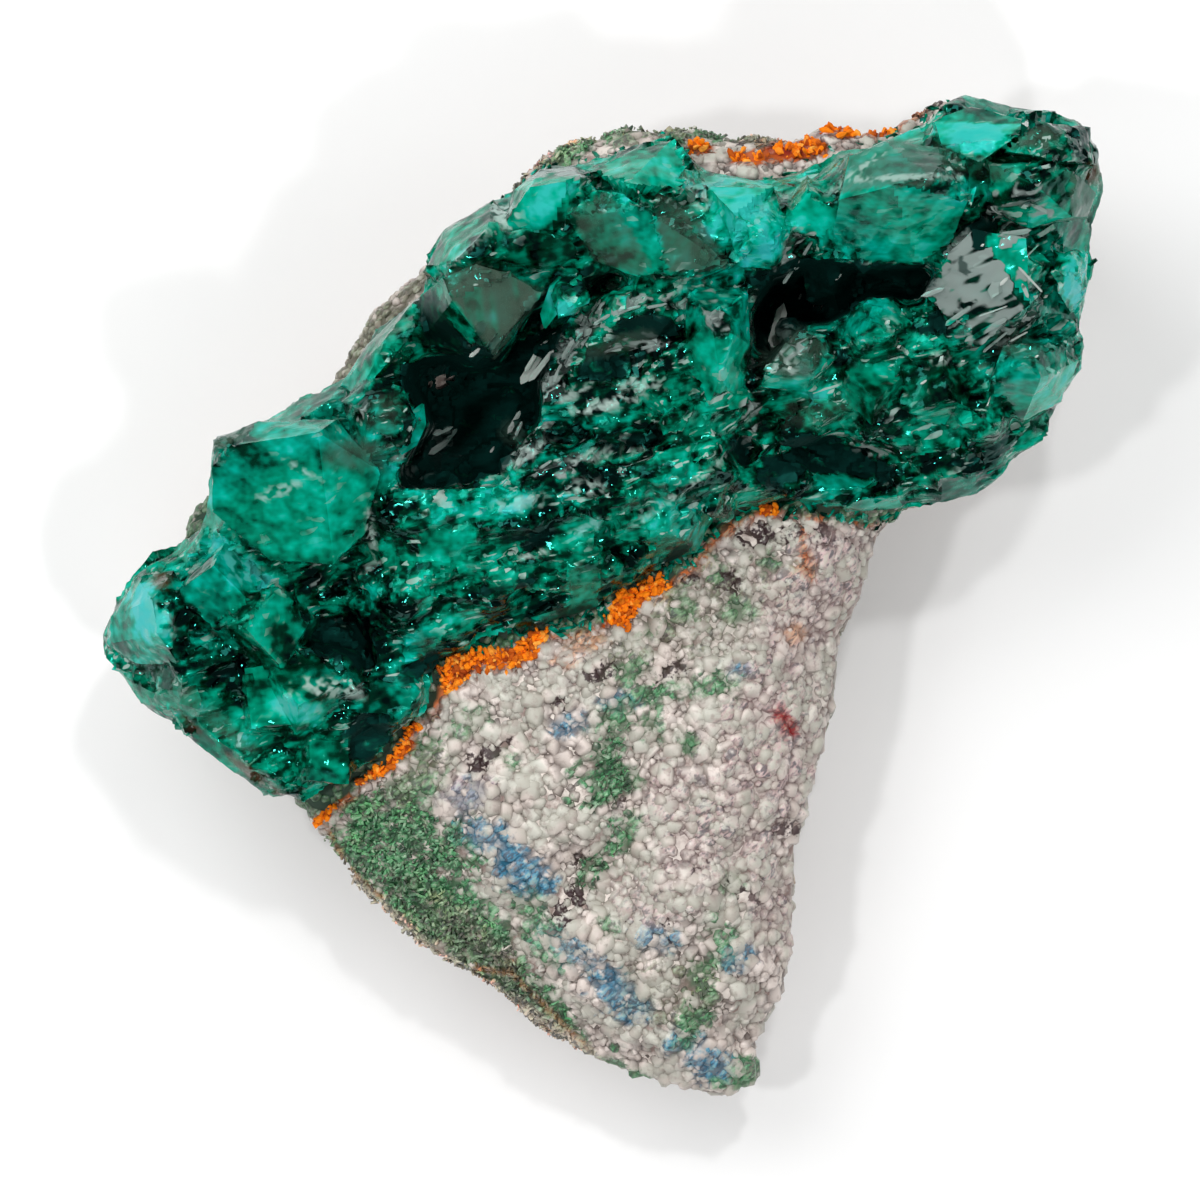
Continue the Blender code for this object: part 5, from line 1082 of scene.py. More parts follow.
def grain_material():
    """Sugary grains: cream, stained in patches, dusty, with painted shade darkening them low down in the gaps."""
    look = bpy.context.scene.dioptase_rock
    mat, nodes, links, shader, _ = new_material("sugary_grains")
    tone = attribute_value(nodes, "tone").outputs["Fac"]
    stain = attribute_value(nodes, "stain")
    gap = attribute_value(nodes, "gap").outputs["Fac"]
    cloud = noise_texture(nodes, links, 2200.0, 3.0, 0.65)
    broad = noise_texture(nodes, links, 500.0, 2.0, 0.6)
    clean = mix_colour(nodes, links, ramp(nodes, links, broad, 0.4, 0.6), tuple(look.cream), (0.78, 0.69, 0.64))
    shade = mix_colour(nodes, links, tone, (0.74, 0.72, 0.70), (1.04, 1.04, 1.04))
    colour = mix_colour(nodes, links, 1.0, clean, shade, "MULTIPLY")
    worn = ramp(nodes, links, broad, 0.42, 0.58, 1.0, 0.0)
    colour = mix_colour(nodes, links, worn, colour, (0.74, 0.79, 0.78), "MULTIPLY")
    patchy = calc(nodes, links, "ADD", stain.outputs["Alpha"], calc(nodes, links, "MULTIPLY", cloud, 2.2))
    patchy = calc(nodes, links, "ADD", patchy, calc(nodes, links, "MULTIPLY", tone, 1.0))
    share = calc(
        nodes, links, "MULTIPLY", ramp(nodes, links, patchy, 1.75, 2.45, 0.0, 0.95),
        ramp(nodes, links, stain.outputs["Alpha"], 0.0, 0.25),
    )
    fine = noise_texture(nodes, links, 4200.0, 2.0, 0.6)
    thread = noise_texture(nodes, links, 3600.0, 2.0, 0.65, 2.4, 42.0)
    own = stain.outputs["Color"]
    deep = mix_colour(nodes, links, 1.0, own, (0.18, 0.22, 0.26), "MULTIPLY")
    light = mix_colour(nodes, links, 0.4, own, (0.55, 0.72, 0.52))
    tint = mix_colour(nodes, links, ramp(nodes, links, thread, 0.42, 0.53), deep, own)
    tint = mix_colour(nodes, links, ramp(nodes, links, thread, 0.52, 0.64, 0.0, 0.85), tint, light)
    colour = mix_colour(nodes, links, share, colour, tint)
    dust = ramp(nodes, links, cloud, 0.50, 0.68, 0.0, 0.55)
    colour = mix_colour(nodes, links, dust, colour, (0.34, 0.27, 0.24))
    # dark spots of the rock, and painted shade going near black low down between the grains
    dark_spots_and_gap_shade = calc(nodes, links, "MULTIPLY", attribute_value(nodes, "dark").outputs["Fac"], 0.7)
    dark_spots_and_gap_shade = calc(nodes, links, "ADD", dark_spots_and_gap_shade, calc(nodes, links, "MULTIPLY", gap, 0.5))
    dark_spots_and_gap_shade = calc(nodes, links, "ADD", dark_spots_and_gap_shade, calc(nodes, links, "MULTIPLY", fine, 1.3))
    colour = mix_colour(nodes, links, ramp(nodes, links, dark_spots_and_gap_shade, 1.14, 1.42), colour, (0.035, 0.014, 0.018))
    # painted shade: grains darker low down towards the gaps between them, in patches, tinged by their stain
    patchy_gap_shade = ramp(nodes, links, broad, 0.40, 0.60, 0.4, 1.0)
    low = calc(nodes, links, "MULTIPLY", gap, patchy_gap_shade)
    tinge = calc(nodes, links, "MULTIPLY", stain.outputs["Alpha"], 0.7)
    painted_gap_shade_colour = mix_colour(nodes, links, tinge, (0.08, 0.058, 0.05), stain.outputs["Color"])
    colour = mix_colour(nodes, links, low, colour, painted_gap_shade_colour)
    links.new(colour, shader.inputs["Base Color"])
    links.new(ramp(nodes, links, cloud, 0.3, 0.7, 0.35, 0.65), shader.inputs["Roughness"])
    shader.inputs["IOR"].default_value = 1.6
    return mat


def rock_material():
    """What lies between the grains: dusty, darker, with the stains and the iron of the seam."""
    mat, nodes, links, shader, _ = new_material("rock_ground")
    cloud = noise_texture(nodes, links, 900.0, 6.0, 0.65)
    stain = attribute_value(nodes, "stain")
    base = mix_colour(nodes, links, ramp(nodes, links, cloud, 0.35, 0.6), (0.24, 0.17, 0.15), (0.74, 0.67, 0.61))
    colour = mix_colour(nodes, links, stain.outputs["Alpha"], base, stain.outputs["Color"])
    links.new(colour, shader.inputs["Base Color"])
    links.new(ramp(nodes, links, cloud, 0.3, 0.7, 0.7, 0.95), shader.inputs["Roughness"])
    bump = nodes.new("ShaderNodeBump")
    bump.inputs["Strength"].default_value = 0.6
    bump.inputs["Distance"].default_value = 0.08 * MM
    links.new(cloud, bump.inputs["Height"])
    links.new(bump.outputs["Normal"], shader.inputs["Normal"])
    return mat


def iron_material():
    look = bpy.context.scene.dioptase_rock
    mat, nodes, links, shader, _ = new_material("iron_crumbs")
    tone = attribute_value(nodes, "tone").outputs["Fac"]
    cloud = noise_texture(nodes, links, 1800.0, 5.0, 0.6)
    iron = tuple(look.iron)
    colour = mix_colour(nodes, links, ramp(nodes, links, tone, 0.0, 0.5), (0.42, 0.07, 0.01), iron)
    colour = mix_colour(nodes, links, ramp(nodes, links, tone, 0.75, 1.0, 0.0, 0.8), colour, (1.0, 0.48, 0.08))
    colour = mix_colour(nodes, links, ramp(nodes, links, cloud, 0.52, 0.75, 0.0, 0.7), colour, (0.22, 0.035, 0.008))
    links.new(colour, shader.inputs["Base Color"])
    links.new(ramp(nodes, links, cloud, 0.3, 0.7, 0.7, 0.95), shader.inputs["Roughness"])
    shader.inputs["Specular IOR Level"].default_value = 0.1
    return mat


# Stains


def rock_stain(points, lit, depth=1.0, seed=11):
    """Colour and strength of the stain at each point of the rock, as red, green, blue and share.

    The marks of the open face fade out below its edges, where the rock has soft patches of its own. A depth below 1
    darkens all but the iron: painted shade for the ground seen down in the gaps between the grains.
    """
    bare = open_share(points, lit)
    count = len(points)
    colour = np.zeros((count, 4), dtype=np.float32)
    layers = [
        (LILAC_STAINS, (0.60, 0.42, 0.42), 0.5, 0.5),
        (WARM_STAINS, (0.75, 0.36, 0.18), 0.8, 0.5),
        (BLUE_STAINS, (0.02, 0.22, 0.37), 1.0, 0.8),
        (GREEN_STAINS, (0.035, 0.26, 0.09), 1.0, 0.9),
        (MOSS_STAINS, (0.15, 0.16, 0.09), 1.0, 0.6),
    ]
    for i, (marks, tint, most, ragged) in enumerate(layers):
        share = most * bare * mark_strength(points, marks, ragged, seed + 5 * i)
        colour = lay_over(colour, tint, share)
    colour = lay_over(colour, (0.66, 0.55, 0.43), 0.8 * line_strength(points, TAN_EDGE))
    colour = lay_over(colour, (0.42, 0.17, 0.05), 0.8 * line_strength(points, BROWN_EDGE))
    moss = smooth((wobble(points, 3.6 * MM, seed + 40) - 0.12) / 0.3)
    colour = lay_over(colour, (0.17, 0.20, 0.11), 0.7 * (1.0 - bare) * moss)
    tan = smooth((wobble(points, 2.8 * MM, seed + 41) - 0.15) / 0.3)
    colour = lay_over(colour, (0.52, 0.36, 0.24), 0.5 * (1.0 - bare) * tan)
    # painted shade: depth darkens the ground seen between the grains
    colour[:, :3] *= depth
    halo = bare * line_strength(points, SEAM_LINES, 2.2)
    colour = lay_over(colour, (0.26, 0.09, 0.05), 0.6 * halo)
    thin = bare * line_strength(points, SEAM_LINES)
    colour = lay_over(colour, (0.62, 0.14, 0.02), 0.9 * thin)
    colour = lay_over(colour, (0.50, 0.10, 0.01), 0.97 * bare * patch_strength(points, SEAM_PATCHES))
    red = bare * mark_strength(points, RED_MARKS, 0.3, seed)
    colour = lay_over(colour, (0.30, 0.01, 0.012), red)
    colour[:, 3] += red
    return colour


def lay_over(under, tint, share):
    """One coat of a tint over the coats before it."""
    out = under.copy()
    total = share + under[:, 3] * (1.0 - share)
    keep = np.where(total > 1e-5, share / np.maximum(total, 1e-5), 0.0)
    for i in range(3):
        out[:, i] = under[:, i] * (1.0 - keep) + tint[i] * keep
    out[:, 3] = total
    return out


# Operators


class DIOPTASE_OT_rock(bpy.types.Operator):
    """Build the rock from its solid, with its worn and pitted surface"""

    bl_idname = "dioptase.rock"
    bl_label = "Rock"

    def execute(self, context):
        look = context.scene.dioptase_rock
        rock = merged_copy("matrix", "rock_ground")
        even_out(rock, look.cell)
        points, normals = points_of(rock.data), normals_of(rock.data)
        lift = 0.10 * wobble(points, 1.1 * MM, 1) + 0.08 * wobble(points, 0.5 * MM, 2)
        flat = points[:, 2] < 0.05 * MM
        lift = np.where(flat, 0.0, lift - 0.1) * MM
        moved = points + normals * lift[:, None]
        moved[:, 2] = np.maximum(moved[:, 2], 0.0)
        put_points(rock.data, moved)
        points, normals = points_of(rock.data), normals_of(rock.data)
        # painted shade: the ground seen between the grains is darkened (depth 0.4), and painted shadow turns the ground
        # under the crust's edge deep green-black
        lip = inside_outline(points, CRUST_OUTLINE) & (normals[:, 2] > 0.3) & (points[:, 1] < 10.0 * MM)
        stain = lay_over(rock_stain(points, points[normals[:, 2] > 0.45], 0.4), (0.008, 0.04, 0.022), 0.96 * lip)
        put_attribute(rock.data, "stain", "FLOAT_COLOR", stain)
        rock.data.materials.append(rock_material())
        finish_piece(rock, "matrix")
        return {"FINISHED"}


class DIOPTASE_OT_grains(bpy.types.Operator):
    """Cover the rock with its sugary grains"""

    bl_idname = "dioptase.grains"
    bl_label = "Grains"

    def execute(self, context):
        look = context.scene.dioptase_rock
        rock = bpy.data.objects["rock_ground"]
        rng = random.Random(5)
        shapes = seed_shapes("grain_seed", [rhomb_grain(rng, look.grain) for _ in range(12)])
        tree = tree_of(rock)
        points, normals = points_of(rock.data), normals_of(rock.data)
        covered = inside_outline(points, CRUST_OUTLINE)
        inner = points[:, 1] < 24.9 * MM
        face = (normals[:, 2] > 0.45) & ~covered & inner
        side = (normals[:, 2] <= 0.45) & (normals[:, 2] > -0.6) & (points[:, 2] > 0.75 * MM) & inner
        crust = tree_of(frame["nodes"]["dioptase_crystals"])
        lip = (normals[:, 2] > 0.2) & covered & (points[:, 2] > 1.0 * MM)
        ledge = np.zeros(len(points), dtype=bool)
        for i in np.flatnonzero(covered & (normals[:, 2] > -0.6) & (points[:, 2] > 0.75 * MM)):
            place = Vector(points[i])
            bare = crust.ray_cast(place, Vector((0, 0, 1)), 2.5 * MM)[0] is None
            side[i] &= bare
            lip[i] &= bare
            if not bare:
                out = Vector((normals[i][0], normals[i][1], 0.0))
                out = out.normalized() if out.length > 0.3 else place.to_2d().to_3d().normalized()
                start = place + out * 0.3 * MM + Vector((0, 0, 0.2 * MM))
                ledge[i] = crust.ray_cast(start, out)[0] is None and tree.ray_cast(start, out)[0] is None
        iron = patch_strength(points, SEAM_PATCHES)
        mossy = mark_strength(points, MOSSY_MARKS, 0.3, 91)
        coarse = face * (1.0 - iron) * (1.0 - mossy)
        put_attribute(rock.data, "face", "FLOAT", coarse)
        put_attribute(rock.data, "filler", "FLOAT", np.max([face * (1.0 - 0.5 * iron), lip, side * mossy, ledge], 0))
        put_attribute(rock.data, "side", "FLOAT", side * (1.0 - mossy))
        put_attribute(rock.data, "lip", "FLOAT", lip * (1.0 - iron) * (points[:, 0] > -8.0 * MM))
        material = grain_material()
        lit = points[normals[:, 2] > 0.45]
        for name, mask, spacing, sizes, sink, seed in (
            ("face_grains", "face", 0.46 * MM, (1.1, 1.8), (0.10 * MM, 0.22 * MM), 21),
            ("fine_grains", "filler", 0.32 * MM, (0.6, 0.95), (0.0 * MM, 0.10 * MM), 27),
            ("side_grains", "side", 0.55 * MM, (1.15, 1.9), (0.18 * MM, 0.34 * MM), 31),
        ):
            grains = scatter(rock, shapes, name, spacing, 9e6, sizes, 0.42, sink, seed, mask)
            places = points_of(grains.data)
            places[:, 2] = np.maximum(places[:, 2], 0.0)
            put_points(grains.data, places)
            # under the crust's edge the grains turn darker green: partly painted shade, partly green stain
            under = inside_outline(places, CRUST_OUTLINE) & (places[:, 1] < 10.0 * MM)
            stain = lay_over(rock_stain(places, lit), (0.03, 0.14, 0.05), under * open_share(places, lit))
            put_attribute(grains.data, "stain", "FLOAT_COLOR", stain)
            put_attribute(grains.data, "dark", "FLOAT", mark_strength(places, DARK_MARKS, 0.8, 26))
            # gap: how low each point of a grain sits, which the material paints as shade
            put_attribute(grains.data, "gap", "FLOAT", 1.0 - smooth(heights_over(tree, places) / MM / 0.2))
            grains.data.materials.clear()
            grains.data.materials.append(material)
            finish_piece(grains)
        drop_shapes(shapes)
        green = np.maximum(mark_strength(points, GREEN_STAINS, 0.9, 26), mark_strength(points, MOSS_STAINS, 0.6, 31))
        moss = mossy * np.maximum(face, side) * smooth((green - 0.15) / 0.3) * (1.0 - iron)
        moss[(points[:, 1] > 5.0 * MM) & (points[:, 0] < -6.0 * MM)] = 0.0
        put_attribute(rock.data, "grow", "FLOAT", moss)
        shapes = seed_shapes("fibre_seed", [splinter(rng, 0.3 * MM, 2.2) for _ in range(8)])
        fibres = scatter(rock, shapes, "moss_fibres", 0.15 * MM, 4e7, (0.6, 1.4), 0.9, (-0.24 * MM, -0.02 * MM), 37)
        places = points_of(fibres.data)
        stain = rock_stain(places, lit)
        stain[:, 3] = np.where(stain[:, 3] > 0.15, 1.5, stain[:, 3])
        worn = wobble(places, 1.3 * MM, 97) + 0.5 * wobble(places, 0.5 * MM, 98)
        stain[:, :3] *= np.exp(0.9 * worn)[:, None]
        stain[:, 0] *= 1.0 + 0.8 * smooth(worn / 0.6)
        put_attribute(fibres.data, "stain", "FLOAT_COLOR", stain)
        put_attribute(fibres.data, "dark", "FLOAT", 0.6 * mark_strength(places, DARK_MARKS, 0.8, 26))
        fibres.data.materials.clear()
        fibres.data.materials.append(material)
        finish_piece(fibres, None, False)
        drop_shapes(shapes)
        return {"FINISHED"}


class DIOPTASE_OT_crust(bpy.types.Operator):
    """Build the crust of crystals from its solid, with growth steps and fractured faces"""

    bl_idname = "dioptase.crust"
    bl_label = "Crystals"

    def execute(self, context):
        look = context.scene.dioptase_crystal
        plain = merged_copy("dioptase_crystals", "crystal_plain")
        number, normals, centres, areas = facets_of(plain)
        along, across = facet_frames(normals, centres, 4.0)
        tree = tree_of(plain)
        crust = merged_copy("dioptase_crystals", "crystal_crust")
        remesh = crust.modifiers.new("Crisp", "REMESH")
        remesh.mode = "SHARP"
        remesh.octree_depth = 8
        remesh.scale = 0.88
        remesh.sharpness = 1.0
        bake(crust)
        mesh = crust.data
        points = points_of(mesh)
        home = np.array([number[tree.find_nearest(Vector(p))[2]] for p in points])
        broad = smooth((areas / (MM * MM) - 2.0) / 2.0)
        soften(mesh, broad[home] < 0.5, 6)
        points = points_of(mesh)
        spot = np.stack([(points * along[home]).sum(1), (points * across[home]).sum(1)], axis=1)
        stretched = np.stack([spot[:, 0] * 0.22, spot[:, 1], home * 0.37 * MM], axis=1)
        steps = wobble(stretched, 0.75 * MM, 5)
        steps = np.round(steps * 2.5) / 2.5 * 0.6 + steps * 0.4
        loose = np.maximum(1.0 - broad[home], mark_strength(points, SHADE_MARKS[:6], 0.3, 55))
        clear = facet_strength(points, CLEAR_FACETS)
        loose *= 1.0 - 0.8 * clear
        large = Shards(points, 1.9 * MM, 1.7, 20.0, 31)
        small = Shards(points, 0.75 * MM, 1.8, 14.0, 32)
        broken = large.lift(points, 0.17, 0.07) + small.lift(points, 0.13, 0.06)
        calm = 0.15 + 0.85 * smooth((normals_of(mesh)[:, 2] - 0.1) / 0.5)
        lift = look.terrace * steps * broad[home] + loose * broken * calm - 0.06 * MM
        lift += (1.0 - loose) * small.lift(points, 0.03, 0.02) + 0.04 * MM * wobble(points, 0.8 * MM, 6)
        lift = np.where(calm < 0.5, np.minimum(lift, 0.02 * MM), lift)
        drift = np.stack([wobble(points, 1.4 * MM, 81), wobble(points, 1.4 * MM, 82), wobble(points, 1.4 * MM, 83)], 1)
        moved = points + normals_of(mesh) * lift[:, None] + 0.12 * MM * (loose * calm)[:, None] * drift
        moved[:, 2] = np.maximum(moved[:, 2], 0.0)
        put_points(mesh, moved)
        put_attribute(mesh, "loose", "FLOAT", loose)
        count = len(mesh.polygons)
        middles = np.empty(count * 3, dtype=np.float32)
        mesh.polygons.foreach_get("center", middles)
        middles = middles.reshape(-1, 3)
        home = np.array([number[tree.find_nearest(Vector(p))[2]] for p in middles])
        rng = np.random.default_rng(12)
        tones = 0.36 + broad * rng.uniform(-0.04, 0.30, len(areas))
        patchwork = 0.10 * large.tones[large.home(middles)] + 0.09 * small.tones[small.home(middles)]
        tone = tones[home] + patchwork * (1.0 - 0.7 * broad[home])
        layer = mesh.attributes.new("facet_tone", "FLOAT", "FACE")
        layer.data.foreach_set("value", tone.astype(np.float32))
        totals = np.empty(count, dtype=np.int32)
        mesh.polygons.foreach_get("loop_total", totals)
        corner_home = np.repeat(home, totals)
        corner_vertex = np.empty(len(mesh.loops), dtype=np.int32)
        mesh.loops.foreach_get("vertex_index", corner_vertex)
        corner = points_of(mesh)[corner_vertex]
        striae = np.stack(
            [
                (corner * along[corner_home]).sum(1) + corner_home * 1.7 * MM,
                (corner * across[corner_home]).sum(1),
                (corner * normals[corner_home]).sum(1),
            ],
            axis=1,
        )
        layer = mesh.attributes.new("striae", "FLOAT_VECTOR", "CORNER")
        layer.data.foreach_set("vector", striae.astype(np.float32).ravel())
        mark_crystals(crust, smooth((normals_of(mesh)[:, 2] + 0.02) / 0.12))
        mesh.materials.clear()
        mesh.materials.append(crystal_material())
        finish_piece(crust, "dioptase_crystals")
        mesh.set_sharp_from_angle(angle=math.radians(28.0))
        old = plain.data
        bpy.data.objects.remove(plain)
        bpy.data.meshes.remove(old)
        return {"FINISHED"}


def mark_crystals(ob, up=1.0):
    """Give a crystal mesh its painted light, painted shade, painted reflections, painted sheen, painted glints and
    rusty places; up weakens those on its sides.
    """
    points = points_of(ob.data)
    glow = np.maximum(mark_strength(points, PAINTED_LIGHT_MARKS, 0.6, 51), facet_strength(points, PAINTED_LIGHT_FACETS))
    grey = np.maximum(mark_strength(points, PAINTED_REFLECTION_MARKS, 0.4, 59), facet_strength(points, PAINTED_REFLECTION_FACETS))
    put_attribute(ob.data, "glow", "FLOAT", glow * up)
    # painted shade, kept on the crystals' sides as well
    shade = np.maximum(mark_strength(points, SHADE_MARKS, 0.7, 55), 1.3 * facet_strength(points, SHADE_FACETS))
    put_attribute(ob.data, "shade", "FLOAT", shade)
    put_attribute(ob.data, "grey", "FLOAT", grey * up)
    silver = np.maximum(mark_strength(points, PAINTED_SHEEN_MARKS, 0.9, 65), facet_strength(points, PAINTED_SHEEN_FACETS))
    put_attribute(ob.data, "silver", "FLOAT", silver * up)
    put_attribute(ob.data, "pale", "FLOAT", up * mark_strength(points, PAINTED_GLINT_MARKS, 0.8, 63))
    put_attribute(ob.data, "rust", "FLOAT", up * mark_strength(points, RUST_MARKS, 0.5, 67))


class DIOPTASE_OT_druse(bpy.types.Operator):
    """Scatter small crystals over the crust"""

    bl_idname = "dioptase.druse"
    bl_label = "Small Crystals"

    def execute(self, context):
        crust = bpy.data.objects["crystal_crust"]
        rng = random.Random(8)
        shapes = seed_shapes("crystal_seed", [rhomb_crystal(rng, 0.5 * MM) for _ in range(8)])
        points, normals = points_of(crust.data), normals_of(crust.data)
        clusters = smooth((wobble(points, 3.2 * MM, 71) - 0.12) / 0.3)
        upward = smooth((normals[:, 2] - 0.45) / 0.3)
        shown = points[:, 2] > 11.5 * MM
        put_attribute(crust.data, "grow", "FLOAT", clusters * upward * shown)
        druse = scatter(crust, shapes, "small_crystals", 1.0 * MM, 1.2e6, (0.5, 1.2), 0.7, (0.1 * MM, 0.5 * MM), 41)
        mark_crystals(druse)
        put_attribute(druse.data, "facet_tone", "FLOAT", np.full(len(druse.data.vertices), 0.5))
        striae = points_of(druse.data)
        layer = druse.data.attributes.new("striae", "FLOAT_VECTOR", "POINT")
        layer.data.foreach_set("vector", striae.ravel())
        druse.data.materials.clear()
        druse.data.materials.append(bpy.data.materials["dioptase_glass"])
        finish_piece(druse, None, False)
        drop_shapes(shapes)
        shapes = seed_shapes("sliver_seed", [splinter(rng, 0.9 * MM) for _ in range(8)])
        loose = np.empty(len(points), dtype=np.float32)
        crust.data.attributes["loose"].data.foreach_get("value", loose)
        way = math.radians(18.0) + 0.6 * wobble(points, 9.0 * MM, 75)
        run = np.stack([np.cos(way), np.sin(way), np.zeros(len(points))], axis=1)
        layer = crust.data.attributes.new("run", "FLOAT_VECTOR", "POINT")
        layer.data.foreach_set("vector", run.astype(np.float32).ravel())
        patches = smooth((wobble(points, 1.8 * MM, 77) + 0.25) / 0.4)
        put_attribute(crust.data, "grow", "FLOAT", loose * patches * smooth((normals[:, 2] - 0.5) / 0.3))
        slivers = scatter(
            crust, shapes, "crystal_slivers", 0.5 * MM, 3e6, (0.4, 1.1), 0.35, (0.0, 0.14 * MM), 81, "grow", "run"
        )
        rock = bpy.data.objects["rock_ground"]
        edging = scatter(rock, shapes, "lip_slivers", 0.22 * MM, 2e7, (0.5, 1.2), 0.5, (-0.1 * MM, 0.1 * MM), 85, "lip")
        put_attribute(edging.data, "facet_tone", "FLOAT", np.full(len(edging.data.vertices), 0.36))
        put_attribute(edging.data, "loose", "FLOAT", np.ones(len(edging.data.vertices)))
        edging.data.materials.clear()
        edging.data.materials.append(bpy.data.materials["dioptase_glass"])
        finish_piece(edging, None, False)
        mark_crystals(slivers)
        count = len(slivers.data.vertices)
        tone = np.empty(count, dtype=np.float32)
        slivers.data.attributes["tone"].data.foreach_get("value", tone)
        put_attribute(slivers.data, "facet_tone", "FLOAT", 0.2 + 0.5 * tone)
        # a few random slivers get painted glints
        pale = np.empty(count, dtype=np.float32)
        slivers.data.attributes["pale"].data.foreach_get("value", pale)
        put_attribute(slivers.data, "pale", "FLOAT", np.maximum(pale, np.where(tone > 0.93, 0.9, 0.0)))
        layer = slivers.data.attributes.new("striae", "FLOAT_VECTOR", "POINT")
        layer.data.foreach_set("vector", points_of(slivers.data).ravel())
        slivers.data.materials.clear()
        slivers.data.materials.append(bpy.data.materials["dioptase_glass"])
        finish_piece(slivers, None, False)
        drop_shapes(shapes)
        return {"FINISHED"}


class DIOPTASE_OT_singles(bpy.types.Operator):
    """Set the single crystals that stand out on the crust"""

    bl_idname = "dioptase.singles"
    bl_label = "Single Crystals"

    def execute(self, context):
        tree = tree_of(bpy.data.objects["crystal_crust"])
        rng = random.Random(14)
        whole = bmesh.new()
        counts = []
        for ax, ay, bx, by, width, _, _ in SINGLE_CRYSTALS:
            ends = []
            for x, y in ((ax, ay), (bx, by)):
                found = tree.ray_cast(Vector((x * MM, y * MM, 0.05)), Vector((0, 0, -1)))[0]
                if found is None:
                    raise RuntimeError("no crust under a single crystal")
                ends.append(found)
            top = max(ends[0].z, ends[1].z)
            reach = 0.5 * math.hypot(bx - ax, by - ay) * MM
            for end in ends:
                end.z = max(end.z, top - reach) + 0.1 * width * MM
            bm = bmesh.new()
            span = ends[1] - ends[0]
            bmesh.ops.create_cone(
                bm, cap_ends=True, cap_tris=False, segments=6, radius1=0.5 * width * MM,
                radius2=0.4 * width * MM, depth=span.length,
            )
            flat = Matrix.Diagonal((1.0, rng.uniform(0.5, 0.8), 1.0, 1.0))
            bmesh.ops.transform(bm, matrix=flat, verts=bm.verts)
            for slant, side in ((-1.0, -1.0), (-1.0, 1.0), (1.0, -1.0), (1.0, 1.0)):
                steep = rng.uniform(0.35, 0.75)
                tip = Vector((side, rng.uniform(-0.3, 0.3), steep * slant)).normalized()
                cut = bmesh.ops.bisect_plane(
                    bm, geom=bm.verts[:] + bm.edges[:] + bm.faces[:], dist=1e-7,
                    plane_co=(side * 0.06 * width * MM, 0, slant * 0.5 * span.length), plane_no=tip,
                    clear_outer=True,
                )
                rim = [e for e in cut["geom_cut"] if isinstance(e, bmesh.types.BMEdge)]
                bmesh.ops.holes_fill(bm, edges=rim, sides=0)
            turn = span.to_track_quat("Z", "Y").to_matrix().to_4x4()
            place = Matrix.Translation((ends[0] + ends[1]) / 2)
            bmesh.ops.transform(bm, matrix=place @ turn, verts=bm.verts)
            bmesh.ops.recalc_face_normals(bm, faces=bm.faces)
            part = bpy.data.meshes.new("single_part")
            bm.to_mesh(part)
            counts.append(len(bm.verts))
            bm.free()
            whole.from_mesh(part)
            bpy.data.meshes.remove(part)
        mesh = bpy.data.meshes.new("single_crystals")
        whole.to_mesh(mesh)
        whole.free()
        ob = bpy.data.objects.new("single_crystals", mesh)
        context.scene.collection.objects.link(ob)
        mark_crystals(ob)
        put_attribute(mesh, "facet_tone", "FLOAT", np.repeat([c[5] for c in SINGLE_CRYSTALS], counts))
        put_attribute(mesh, "silver", "FLOAT", np.repeat([c[6] for c in SINGLE_CRYSTALS], counts))
        put_attribute(mesh, "shade", "FLOAT", np.zeros(len(mesh.vertices)))
        layer = mesh.attributes.new("striae", "FLOAT_VECTOR", "POINT")
        layer.data.foreach_set("vector", points_of(mesh).ravel())
        mesh.materials.append(bpy.data.materials["dioptase_glass"])
        finish_piece(ob, None, False)
        return {"FINISHED"}


class DIOPTASE_OT_seam(bpy.types.Operator):
    """Crumble the iron oxide along the seam between rock and crystals"""

    bl_idname = "dioptase.seam"
    bl_label = "Iron Seam"

    def execute(self, context):
        look = context.scene.dioptase_rock
        rock = bpy.data.objects["rock_ground"]
        rng = random.Random(9)
        shapes = seed_shapes("crumb_seed", [crumb(rng, 0.17 * MM) for _ in range(8)])
        points, normals = points_of(rock.data), normals_of(rock.data)
        iron = patch_strength(points, SEAM_PATCHES)
        rim = (points[:, 1] > 15.0 * MM) & (wobble(points, 0.7 * MM, 95) < 0.05)
        iron[rim] *= 0.12
        iron[points[:, 1] > 24.9 * MM] = 0.0
        put_attribute(rock.data, "grow", "FLOAT", iron * (normals[:, 2] > 0.2))
        crumbs = scatter(
            rock, shapes, "iron_crumbs", 0.11 * MM, 1e8, (0.5, 1.4), math.pi, (-0.30 * MM, 0.02 * MM), 61
        )
        crumbs.data.materials.clear()
        crumbs.data.materials.append(iron_material())
        finish_piece(crumbs, None, False)
        drop_shapes(shapes)
        return {"FINISHED"}


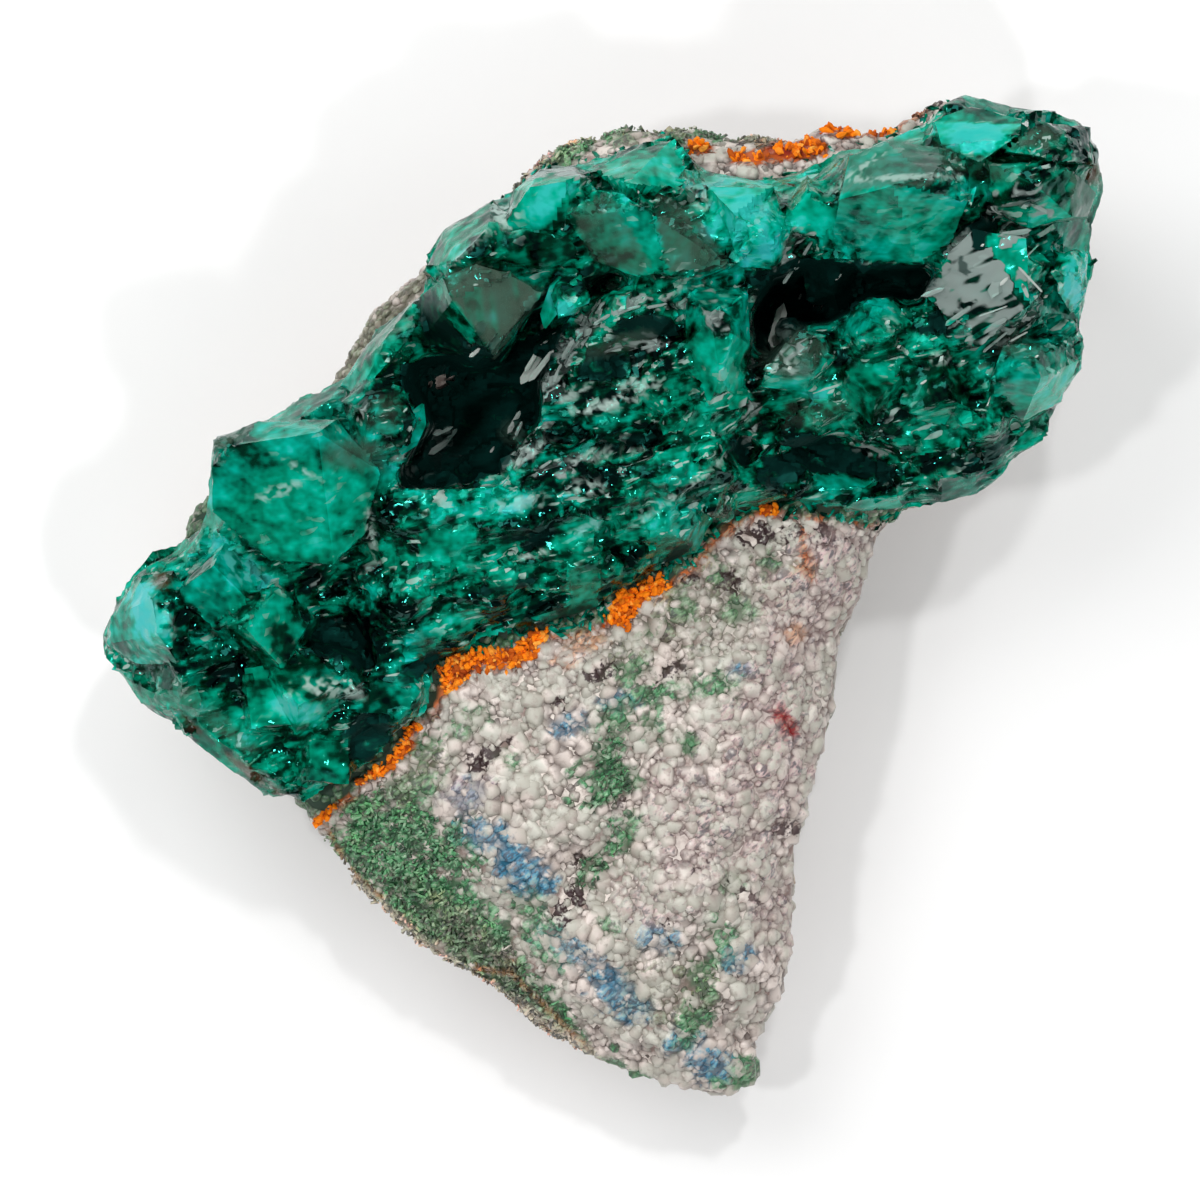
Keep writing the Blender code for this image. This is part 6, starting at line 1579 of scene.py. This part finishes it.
class DIOPTASE_OT_stage(bpy.types.Operator):
    """Set the floor, the soft lights and the camera"""

    bl_idname = "dioptase.stage"
    bl_label = "Stage"

    def execute(self, context):
        look = context.scene.dioptase_studio
        scene = context.scene
        scene.view_settings.view_transform = "Standard"
        bm = bmesh.new()
        bmesh.ops.create_grid(bm, x_segments=1, y_segments=1, size=0.9)
        mesh = bpy.data.meshes.new("floor")
        bm.to_mesh(mesh)
        bm.free()
        floor = bpy.data.objects.new("floor", mesh)
        scene.collection.objects.link(floor)
        mat, nodes, links, shader, _ = new_material("white_paper")
        shader.inputs["Base Color"].default_value = (0.9, 0.9, 0.9, 1.0)
        shader.inputs["Roughness"].default_value = 0.9
        mesh.materials.append(mat)
        world = bpy.data.worlds.new("studio")
        world.use_nodes = True
        world.node_tree.nodes["Background"].inputs["Color"].default_value = (1.0, 1.0, 1.0, 1.0)
        world.node_tree.nodes["Background"].inputs["Strength"].default_value = 0.14
        scene.world = world
        for name, place, size, power, mirrored in (
            ("key", (-0.24, 0.22, 0.33), 0.30, 1.10, True),
            ("front", (-0.10, -0.32, 0.33), 0.34, 0.42, False),
            ("right", (0.33, -0.04, 0.33), 0.34, 0.42, False),
            ("back", (0.12, 0.32, 0.33), 0.34, 0.42, False),
            ("spark_back", (0.06, 0.20, 0.42), 0.03, 0.36, True),
            ("spark_left", (-0.18, -0.03, 0.42), 0.03, 0.36, True),
            ("spark_front", (0.12, -0.16, 0.42), 0.03, 0.36, True),
        ):
            lamp = bpy.data.lights.new(name, "AREA")
            lamp.size = size
            lamp.energy = power * look.key_power
            ob = bpy.data.objects.new(name, lamp)
            ob.visible_glossy = mirrored
            ob.location = place
            ob.rotation_euler = (Vector((0, 0, 0.012)) - Vector(place)).to_track_quat("-Z", "Y").to_euler()
            scene.collection.objects.link(ob)
        camera = bpy.data.cameras.new("camera")
        camera.lens = look.lens
        camera.sensor_width = 36.0
        camera.clip_start = 0.01
        camera.clip_end = 5.0
        ob = bpy.data.objects.new("camera", camera)
        ob.location = (0.0, 0.0, 0.013 + look.view_width * look.lens / camera.sensor_width)
        scene.collection.objects.link(ob)
        scene.camera = ob
        return {"FINISHED"}


class DIOPTASE_PT_panel(bpy.types.Panel):
    bl_label = "Dioptase"
    bl_idname = "DIOPTASE_PT_panel"
    bl_space_type = "VIEW_3D"
    bl_region_type = "UI"
    bl_category = "Dioptase"

    def draw(self, context):
        for operator in OPERATORS:
            self.layout.operator(operator.bl_idname)


OPERATORS = (
    DIOPTASE_OT_stage, DIOPTASE_OT_rock, DIOPTASE_OT_grains, DIOPTASE_OT_seam, DIOPTASE_OT_crust, DIOPTASE_OT_druse,
    DIOPTASE_OT_singles,
)
CLASSES = (CrystalSettings, RockSettings, StudioSettings, DIOPTASE_PT_panel) + OPERATORS


def register():
    for cls in CLASSES:
        bpy.utils.register_class(cls)
    bpy.types.Scene.dioptase_crystal = bpy.props.PointerProperty(type=CrystalSettings)
    bpy.types.Scene.dioptase_rock = bpy.props.PointerProperty(type=RockSettings)
    bpy.types.Scene.dioptase_studio = bpy.props.PointerProperty(type=StudioSettings)


def unregister():
    del bpy.types.Scene.dioptase_studio
    del bpy.types.Scene.dioptase_rock
    del bpy.types.Scene.dioptase_crystal
    for cls in reversed(CLASSES):
        bpy.utils.unregister_class(cls)


def main():
    register()
    bpy.ops.dioptase.stage()
    bpy.ops.dioptase.rock()
    bpy.ops.dioptase.grains()
    bpy.ops.dioptase.seam()
    bpy.ops.dioptase.crust()
    bpy.ops.dioptase.druse()
    bpy.ops.dioptase.singles()


if __name__ == "__main__":
    main()
